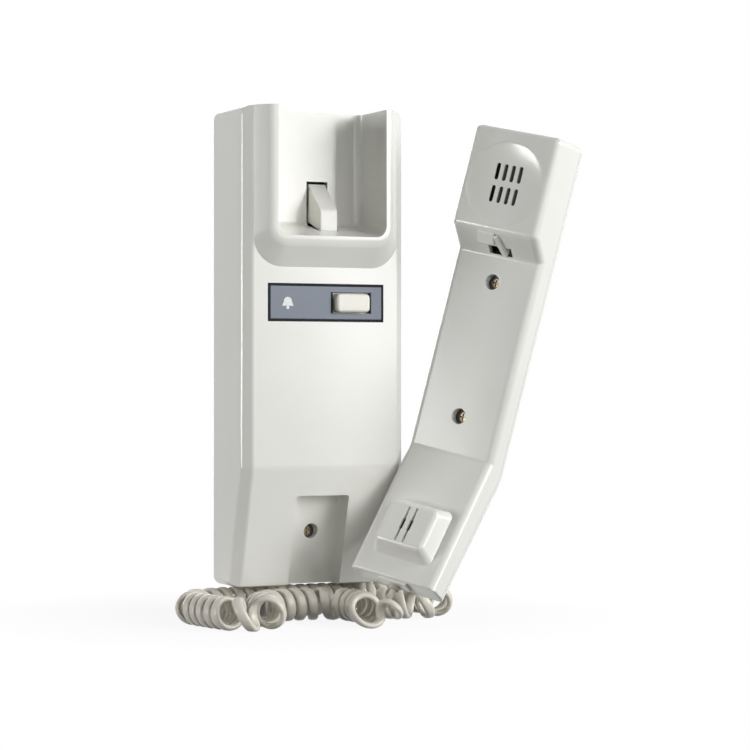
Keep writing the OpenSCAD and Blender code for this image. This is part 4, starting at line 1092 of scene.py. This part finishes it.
@dataclass
class Handset(Assembly):
    """Both shells of the handset: ear end with a dish, straight handle and slanted mouth end."""

    half: float = 22.5  # half its width
    wall: float = 2  # thickness of its walls
    back: float = 15.5  # its back face
    ear: float = 11  # how far the ear end stands out
    neck: float = 9.5  # height of the slanted neck
    top: float = 56.1
    back_bend: float = -100  # height of the bend in its back
    mouth_len: float = 64.5  # length of the mouth end
    tip: float = 14.4  # thickness of the mouth end at its tip
    seam: float = 10.5  # where the shells part
    seam_gap: float = 0.12  # width of the line between the shells
    ear_mid: float = 31.3  # height of the earpiece's middle
    dish_r: float = 19.5  # radius of the earpiece's dish
    dish_deep: float = 1.7  # its depth
    slot_pitch: tuple[float, float] = (3.9, 10.3)  # from one ear slot to the next, across and up
    slot_half: tuple[float, float] = (1, 3.85)  # half the size of an ear slot
    slot_span: tuple[float, float] = (-20, -7.9)  # depths between which it is cut
    slot_round: float = 0.95  # rounding of its ends
    mouth_mid: float = -41  # distance from the bend to the mouthpiece's middle
    mouth_half: tuple[float, float] = (15.6, 13.8)  # half the size of the mouthpiece's foot
    mouth_rise: float = 8  # how far it stands out
    mouth_slant: float = 3.6  # how much smaller its face is at each side
    mouth_slot_x: float = 1.95  # place of its two slots
    mouth_slots: Sequence[tuple[float, float]] = ((0.6, 8.5), (0.96, 2.55))  # half their sizes, and their waists'
    mouth_slot_span: tuple[float, float] = (-12, -6.3)  # depths between which they are cut
    ear_wall: tuple[Triple, Triple] = ((-21.2, -10, 11), (21.2, -8.9, 54.6))  # thicker wall behind the dish
    hook_pocket: tuple[Triple, Triple] = ((-4.5, -4, 0.3), (7.5, 4, 4.2))  # opening in the neck for the hook lever
    tab: tuple[Triple, Triple] = ((-8.2, -1.0, -5.8), (0.4, 4, 0))  # beside that opening, in the neck's slant
    tab_drop: float = 1.4  # how far it lies below the ear end's edge
    tab_slant: float = 20  # its slant in degrees
    rib: tuple[Triple, Triple] = ((-1.2, -1.5, -5.8), (1.2, 2.5, 5.8))  # across that opening
    rib_place: Triple = (2.6, 0, -8.0)  # its middle, in the neck's slant
    rib_slant: float = 17  # its slant in degrees
    guide_edge: float = 0.5  # rounding of the tab and the rib
    pad: tuple[Point, Point] = ((-7.5, 1.6, -1.1), (7.5, 9.0, 1))  # around the cord, on the tip
    pad_edge: float = 0.4  # its rounding
    well: Triple = (WELL_WALL, 0.5, 7.6)  # wall around a screw's well: radius and both depths
    head: Triple = (3.5, -1, 6)  # the well itself
    shank: Triple = (SHANK_HOLE, -1, 9)  # hole for a screw's shank
    post: Triple = (3.75, 7.7, 14)  # post on the back shell that a screw holds
    thread: Triple = (1.45, 6, 13.5)  # the screw's hole in it
    mic_bed: Triple = (6.5, -6.4, 6)  # hollow for the microphone
    boot_span: tuple[float, float] = (-66, -58.5)  # heights between which the cord's hole is cut
    frame: HandsetFrame = HandsetFrame()  # where the handset leans

    def mouth_point(self, y: float, z: float) -> tuple[float, float]:
        """Gives Y and Z of a point of the mouth end's frame in the handset's."""
        a = math.radians(self.frame.mouth_angle)
        return y * math.cos(a) + z * math.sin(a), self.frame.bend - y * math.sin(a) + z * math.cos(a)

    def back_run(self) -> Vector:
        """Gives the direction of the mouth end's back, from the bend to the tip."""
        y, z = self.mouth_point(self.tip, -self.mouth_len)
        return Vector((0, y - self.back, z - self.back_bend)).normalized()

    def form(self, name: str, t: float) -> Solid:
        """Builds the handset's form, as a box that is drawn out up and down.

        Args:
            name: Its name.
            t: How far it is moved inwards.

        Returns:
            The form.
        """
        run = self.back_run()
        a = math.radians(self.frame.mouth_angle)
        foot = t * math.tan(math.atan(self.ear / self.neck) / 2)
        low_front = self.frame.bend - t * math.tan(a / 2)
        low_back = self.back_bend + t * math.tan(math.atan2(-run.y, -run.z) / 2)
        half, front, back, draft = self.half - t, t, self.back - t, 60
        piece = Solid.box(name, (-half, front, -draft), (half, back, foot))
        piece.draw_out((0, 0, self.neck), within(z_min=foot))
        piece.draw_out((0, 0, self.top - t - foot - self.neck), within(z_min=foot + self.neck))
        piece.draw_out((0, -self.ear, 0), within(y_max=front, z_min=foot))
        piece.push((0, self.ear, 0), within(y_max=front - 1, z_max=foot)).weld()
        piece.push((0, 0, low_front + draft), within(y_max=front, z_max=-draft))
        piece.push((0, 0, low_back + draft), within(y_min=back, z=-draft))
        piece.draw_out((0, 0, -draft), within(z_max=low_front))
        tip_y, tip_z = self.mouth_point(t, t - self.mouth_len)
        line = Vector((0, self.back, self.back_bend)) + t * Vector((0, run.z, -run.y))
        up = Vector((0, math.sin(a), math.cos(a)))
        reach = (t - self.mouth_len - (line - Vector((0, 0, self.frame.bend))).dot(up)) / run.dot(up)
        tip = line + run * reach
        end_front, end_back = low_front - draft, low_back - draft
        piece.push((0, tip_y - front, tip_z - end_front), within(y_max=front, z_max=end_front))
        at_end = within(y=back, z=end_back)
        return piece.push((0, tip.y - back, tip.z - end_back), at_end).weld()

    def rounded(self) -> Solid:
        """Builds the outer form with its rounded edges.

        Returns:
            The form.
        """
        run, face, bend, back_bend = self.back_run(), -self.ear, self.frame.bend, self.back_bend
        beside, on_tip, low = within(across="x"), within(z_max=bend - 40), within(across="x", z_max=-80)

        def on_back(q: Vector) -> bool:
            """Tells whether a point lies on the handset's back."""
            off = (q - Vector((q.x, self.back, back_bend))).cross(run).x
            return abs(q.y - self.back) < SLACK or abs(off) < SLACK

        rounds = [
            Round(3.4, within(across="x", y_min=face - 1, y_max=self.back - 1)),
            Round(3.6, within(across="x", y=0)),
            Round(3.6, lambda p: low(p) and not any(on_back(q) for q in p)),
            Round(4.0, lambda p: beside(p) and all(on_back(q) for q in p) and not on_tip(p)),
            Round(4.0, within(along="x", y_min=self.back, z_min=self.top)),
            Round(3.0, within(along="x", y_max=face, z_min=self.top)),
            Round(3.0, within(across="x", z_min=self.top)),
            Round(1.8, within(along="x", y_max=face, z_max=self.neck)),
            Round(1.2, within(along="x", y=0, z=0)),
            Round(1.2, on_tip),
            Round(0.9, within(along="x", y=0, z=bend)),
            Round(5.0, within(along="x", z=back_bend)),
        ]
        return self.form("handset_form", 0).plain().round_off(rounds)

    def behind(self, gap: float) -> Solid:
        """Builds the space behind the seam.

        Args:
            gap: How far it starts in front of the seam.

        Returns:
            The space as a solid.
        """
        run = self.back_run()
        bend = self.back_bend + (self.back - self.seam) * math.tan(math.atan2(-run.y, -run.z) / 2)
        piece = Solid.box("behind", (-40, self.seam - gap, bend), (40, 60, 120))
        return piece.draw_out(run * 90, within(z_max=bend))

    def mouthpiece(self) -> Solid:
        """Builds the slanted mouthpiece on the mouth end.

        Returns:
            The mouthpiece as a solid.
        """
        mid, slant = self.mouth_mid, self.mouth_slant
        piece = Solid.slab("mouthpiece", (0, mid), self.mouth_half, 0, 1)
        piece.draw_out((0, -self.mouth_rise, 0), within(y_max=0))
        face = within(y_max=-self.mouth_rise)
        for side in (-1, 1):
            piece.push((-side * slant, 0, 0), lambda p: face(p) and p[0].x * side > 0)
            piece.push((0, 0, -side * slant), lambda p: face(p) and (p[0].z - mid) * side > 0)
        piece.round_off([Round(3.2, within(along="y", y_max=0)), Round(1.8, face)])
        return piece.place(self.frame.mouth())

    def slots(self) -> list[Solid]:
        """Builds the openings for sound.

        Returns:
            The openings as solids.
        """
        tools = []
        across, up = self.slot_pitch
        for row in (-1, 1):
            for i in range(4):
                middle = ((i - 1.5) * across, self.ear_mid + row * up / 2)
                slot = Solid.slab("ear_slot", middle, self.slot_half, *self.slot_span)
                tools.append(slot.bevel(self.slot_round, within(along="y"), segments=4))
        for x in (-self.mouth_slot_x, self.mouth_slot_x):
            for half in self.mouth_slots:
                slot = Solid.slab("mouth_slot", (x, self.mouth_mid), half, *self.mouth_slot_span)
                tools.append(slot.place(self.frame.mouth()))
        return tools

    def dish(self) -> Solid:
        """Builds the shallow dish of the earpiece.

        Returns:
            The dish as a solid.
        """
        middle = Vector((0, -self.ear, self.ear_mid)) * MM
        facing = (math.pi / 2, 0, 0)
        bpy.ops.mesh.primitive_uv_sphere_add(segments=96, ring_count=48, radius=1, location=middle, rotation=facing)
        bpy.context.object.scale = (self.dish_r * MM, self.dish_r * MM, self.dish_deep * MM)
        return Solid("dish")

    def keeper(self) -> list[Solid]:
        """Builds the small tab and the slanted rib in the neck that guide the hook lever.

        Returns:
            Both as solids.
        """
        slant = shift(0, -self.ear, self.neck) @ turn(math.degrees(math.atan(self.ear / self.neck)), "X")
        tab = Solid.box("tab", *self.tab).place(shift(0, 0, -self.tab_drop) @ turn(-self.tab_slant, "X"))
        tab.soften(self.guide_edge).place(slant)
        rib = Solid.box("rib", *self.rib).soften(self.guide_edge)
        return [tab, rib.place(slant @ shift(*self.rib_place) @ turn(-self.rib_slant, "Y"))]

    def end_pad(self) -> Solid:
        """Builds the raised pad around the cord on the mouth end's tip."""
        pad = Solid.box("end_pad", *self.pad).place(shift(0, 0, -self.mouth_len))
        return pad.soften(self.pad_edge).place(self.frame.mouth())

    def rods(self, name: str, radius: float, start: float, end: float) -> list[Solid]:
        """Builds a bar on the axis of each screw, between two depths."""
        return [Solid.peg(name, (0, z), radius, start, end) for z in self.frame.screws]

    def build(self) -> None:
        """Builds and dresses both shells."""
        mouth = self.frame.mouth()
        front = self.rounded().weld().combine(Join.CUT, self.form("inside", self.wall))
        front.take()
        bpy.ops.object.duplicate()
        back = Solid("handset_rear").combine(Join.COMMON, self.behind(0))
        front.item.name = "handset_face"
        front.combine(Join.CUT, self.behind(self.seam_gap))
        front.combine(
            Join.UNION,
            Solid.box("ear_wall", *self.ear_wall),
            self.mouthpiece(),
            self.end_pad(),
            *self.rods("well", *self.well),
        )
        front.combine(
            Join.CUT,
            self.dish(),
            *self.slots(),
            Solid.box("hook_pocket", *self.hook_pocket),
            *self.rods("head_well", *self.head),
            *self.rods("shank_hole", *self.shank),
            Solid.peg("mic_bed", (0, self.mouth_mid), *self.mic_bed).place(mouth),
            Solid.rod("boot_hole", BOOT_HOLE, *((0, BOOT_Y, height) for height in self.boot_span)).place(mouth),
        )
        for z in self.frame.screws:
            front.bevel(WELL_EDGE, circle(self.head[0], z, -ON_CIRCLE, ON_CIRCLE), segments=2)
        front.combine(Join.UNION, *self.keeper())
        for post, thread in zip(self.rods("post", *self.post), self.rods("thread", *self.thread)):
            back.combine(Join.UNION, post).combine(Join.CUT, thread)
        for piece, node in ((front, "handset_front_shell"), (back, "handset_back_shell")):
            piece.place(self.frame.pose()).smooth()
            self.palette.dress(piece, "abs", "handset", node, "shell_plastic")


@dataclass
class ScrewShadeRings(Assembly):
    """Black rings around the casing screws' heads in their wells, which paint the shade of the deep wells."""

    outer: float = 3.34  # outer radius
    inner: float = 2.0  # inner radius, over the screw's head
    depth: float = 0.7  # thickness
    overlap: float = 0.2  # how far a ring reaches over its screw's head
    edge: float = 0.15  # rounding
    pocket_head: float = -15.03  # front of the screw head in the station's pocket, along Y
    handset_head: float = 4.0  # depth of the screw heads in the handset
    frame: HandsetFrame = HandsetFrame()  # where the handset leans

    def ring(self, name: str, head: float, z: float) -> Solid:
        """Builds one ring.

        Args:
            name: Its name.
            head: Front of its screw's head.
            z: Height of its middle.

        Returns:
            The ring.
        """
        y = head - self.depth + self.overlap
        ring = Solid.peg(name, (0, z), self.outer, y, y + self.depth)
        ring.combine(Join.CUT, Solid.peg("eye", (0, z), self.inner, y - 1, y + 2))
        return ring.soften(self.edge)

    def build(self) -> None:
        """Builds and dresses the rings."""
        pocket = self.ring("pocket_screw_shade_ring", self.pocket_head, POCKET_SCREW_Z)
        pair, other = (self.ring("handset_screw_shade_rings", self.handset_head, z) for z in self.frame.screws)
        pair.combine(Join.UNION, other).place(self.frame.pose())
        for piece, body in ((pocket, "station"), (pair, "handset")):
            # the near-black rings paint the shade in the screws' wells
            self.palette.dress(piece.smooth(), "black", body)


@dataclass
class CadNodes(Assembly):
    """The CAD nodes that stay as they are and only get their finishes."""

    FINISHES = {
        "abs": ("front_cover", "handset_front_shell", "handset_back_shell"),
        "abs_back": ("back_plate",),
        "abs_button": ("call_button",),
        "abs_lever": ("hook_lever",),
        "plate": ("name_plate",),
        "cord": ("curly_cord",),
        "boot": ("base_cord_boot", "handset_cord_boot"),
        "steel": ("hook_pin", "board_screws", "cover_screw", "handset_screws"),
        "spring": ("button_spring", "hook_spring"),
        "brass": ("terminal_screws",),
        "black": ("call_switch", "hook_switch", "board_components", "tone_buzzer", "ear_receiver", "microphone"),
        "red": ("switch_plunger",),
        "board": ("circuit_board",),
        "terminal": ("terminal_block",),
        "foam_and_gap_shade": ("receiver_gasket", "mic_boot"),
        "lead": ("base_lead", "receiver_lead", "mic_lead"),
    }

    def build(self) -> None:
        """Gives every CAD node its finish."""
        for key, names in self.FINISHES.items():
            for name in names:
                for slot in frame["nodes"][name].material_slots:
                    slot.material = self.palette.made[key]
                log.info("%s: %s", name, key)


@dataclass(frozen=True)
class Lamp:
    """A soft light."""

    name: str
    place: Triple  # where it stands, in metres
    size: float  # width of its square face, in metres
    power: float  # in watts
    aim: Triple = (0.02, -0.04, 0.0)  # what it points at, in metres

    def build(self) -> None:
        """Adds the light, turned to the part."""
        way = Vector(self.aim) - Vector(self.place)
        bpy.ops.object.light_add(type="AREA", location=self.place, rotation=way.to_track_quat("-Z", "Y").to_euler())
        lamp = bpy.context.object
        lamp.name = self.name
        lamp.data.shape = "SQUARE"
        lamp.data.size = self.size
        lamp.data.energy = self.power


@dataclass
class Studio:
    """White floor, white surroundings and soft lights."""

    floor_z: float = -124.05  # height of the floor
    floor_size: float = 12  # in metres
    paper: str = "f4f4f4"  # the floor as it is seen
    shade: str = "6e6e6e"  # the floor as it lights the part
    fade: tuple[float, float] = (0.12, 0.2)  # where the seen floor turns into plain white, in metres
    glow: float = 0.88  # share of plain white close to the part
    bright_side: Triple = (0.45, -0.45, -0.75)  # direction of the brightest surroundings
    span: tuple[float, float] = (-0.75, 0.6)  # where the surroundings are darkest and brightest along it
    levels: tuple[float, float] = (0.03, 0.12)  # strength of the light from there
    lamps: Sequence[Lamp] = (
        Lamp("key_light", (1.0, -1.2, 0.4), 0.9, 23.0),
        Lamp("left_light", (-1.5, 0.1, 0.1), 0.5, 11.0),
        Lamp("front_light", (0.1, -1.55, 0.3), 0.9, 4.2),
        Lamp("rear_light", (0.2, 1.65, 0.08), 0.9, 8.0),
    )

    @staticmethod
    def shown(nodes: Nodes) -> Socket:
        """Tells the rays that see a white surrounding from those that only carry its light.

        Args:
            nodes: The tree to add to.

        Returns:
            1 for the camera and for reflections.
        """
        path = nodes.add("ShaderNodeLightPath", {}).outputs
        rays = {0: path["Is Camera Ray"], 1: path["Is Glossy Ray"]}
        return nodes.add("ShaderNodeMath", rays, operation="MAXIMUM").outputs[0]

    def floor(self) -> None:
        """Adds the floor."""
        bpy.ops.mesh.primitive_plane_add(size=self.floor_size, location=(0, 0, self.floor_z * MM))
        floor = Solid("studio_floor").item
        nodes = Nodes(bpy.data.materials.new("white_paper_floor"))
        paper, shade = (
            nodes.add("ShaderNodeBsdfDiffuse", {"Color": linear(color), "Roughness": 0.5})
            for color in (self.paper, self.shade)
        )
        glow = nodes.add("ShaderNodeEmission", {"Color": linear("ffffff"), "Strength": 1.0})
        way = nodes.add("ShaderNodeVectorMath", {0: nodes.place("Object")}, operation="LENGTH")
        away = nodes.between(way.outputs["Value"], self.glow, 1.0, self.fade)
        both = nodes.mix(self.shown(nodes), shade, nodes.mix(away, paper, glow))
        floor.data.materials.append(nodes.surface(both))

    def sky(self) -> None:
        """Makes the surroundings white to look at, and as a light brightest at the front and the right."""
        nodes = Nodes(bpy.data.worlds.new("white_studio"), "ShaderNodeOutputWorld")
        ways = {0: nodes.place("Generated"), 1: self.bright_side}
        side = nodes.add("ShaderNodeVectorMath", ways, operation="DOT_PRODUCT")
        level = nodes.between(side.outputs["Value"], *self.levels, self.span)
        light, white = (
            nodes.add("ShaderNodeBackground", {"Color": linear("ffffff"), "Strength": strength})
            for strength in (level, 1.0)
        )
        bpy.context.scene.world = nodes.surface(nodes.mix(self.shown(nodes), light, white))

    def build(self) -> None:
        """Sets up the studio."""
        self.floor()
        self.sky()
        for lamp in self.lamps:
            lamp.build()
        bpy.context.scene.view_settings.view_transform = "Standard"


def main() -> None:
    """Builds the scene."""
    logging.basicConfig(level=logging.INFO, format="%(name)s: %(message)s")
    palette = Palette()
    CadNodes(palette).build()
    Camera().build()
    for assembly in (CurlyCord, FrontCover, NamePlate, CallButton, HookLever, Handset, ScrewShadeRings):
        assembly(palette).build()
    Studio().build()


if __name__ == "__main__":
    main()
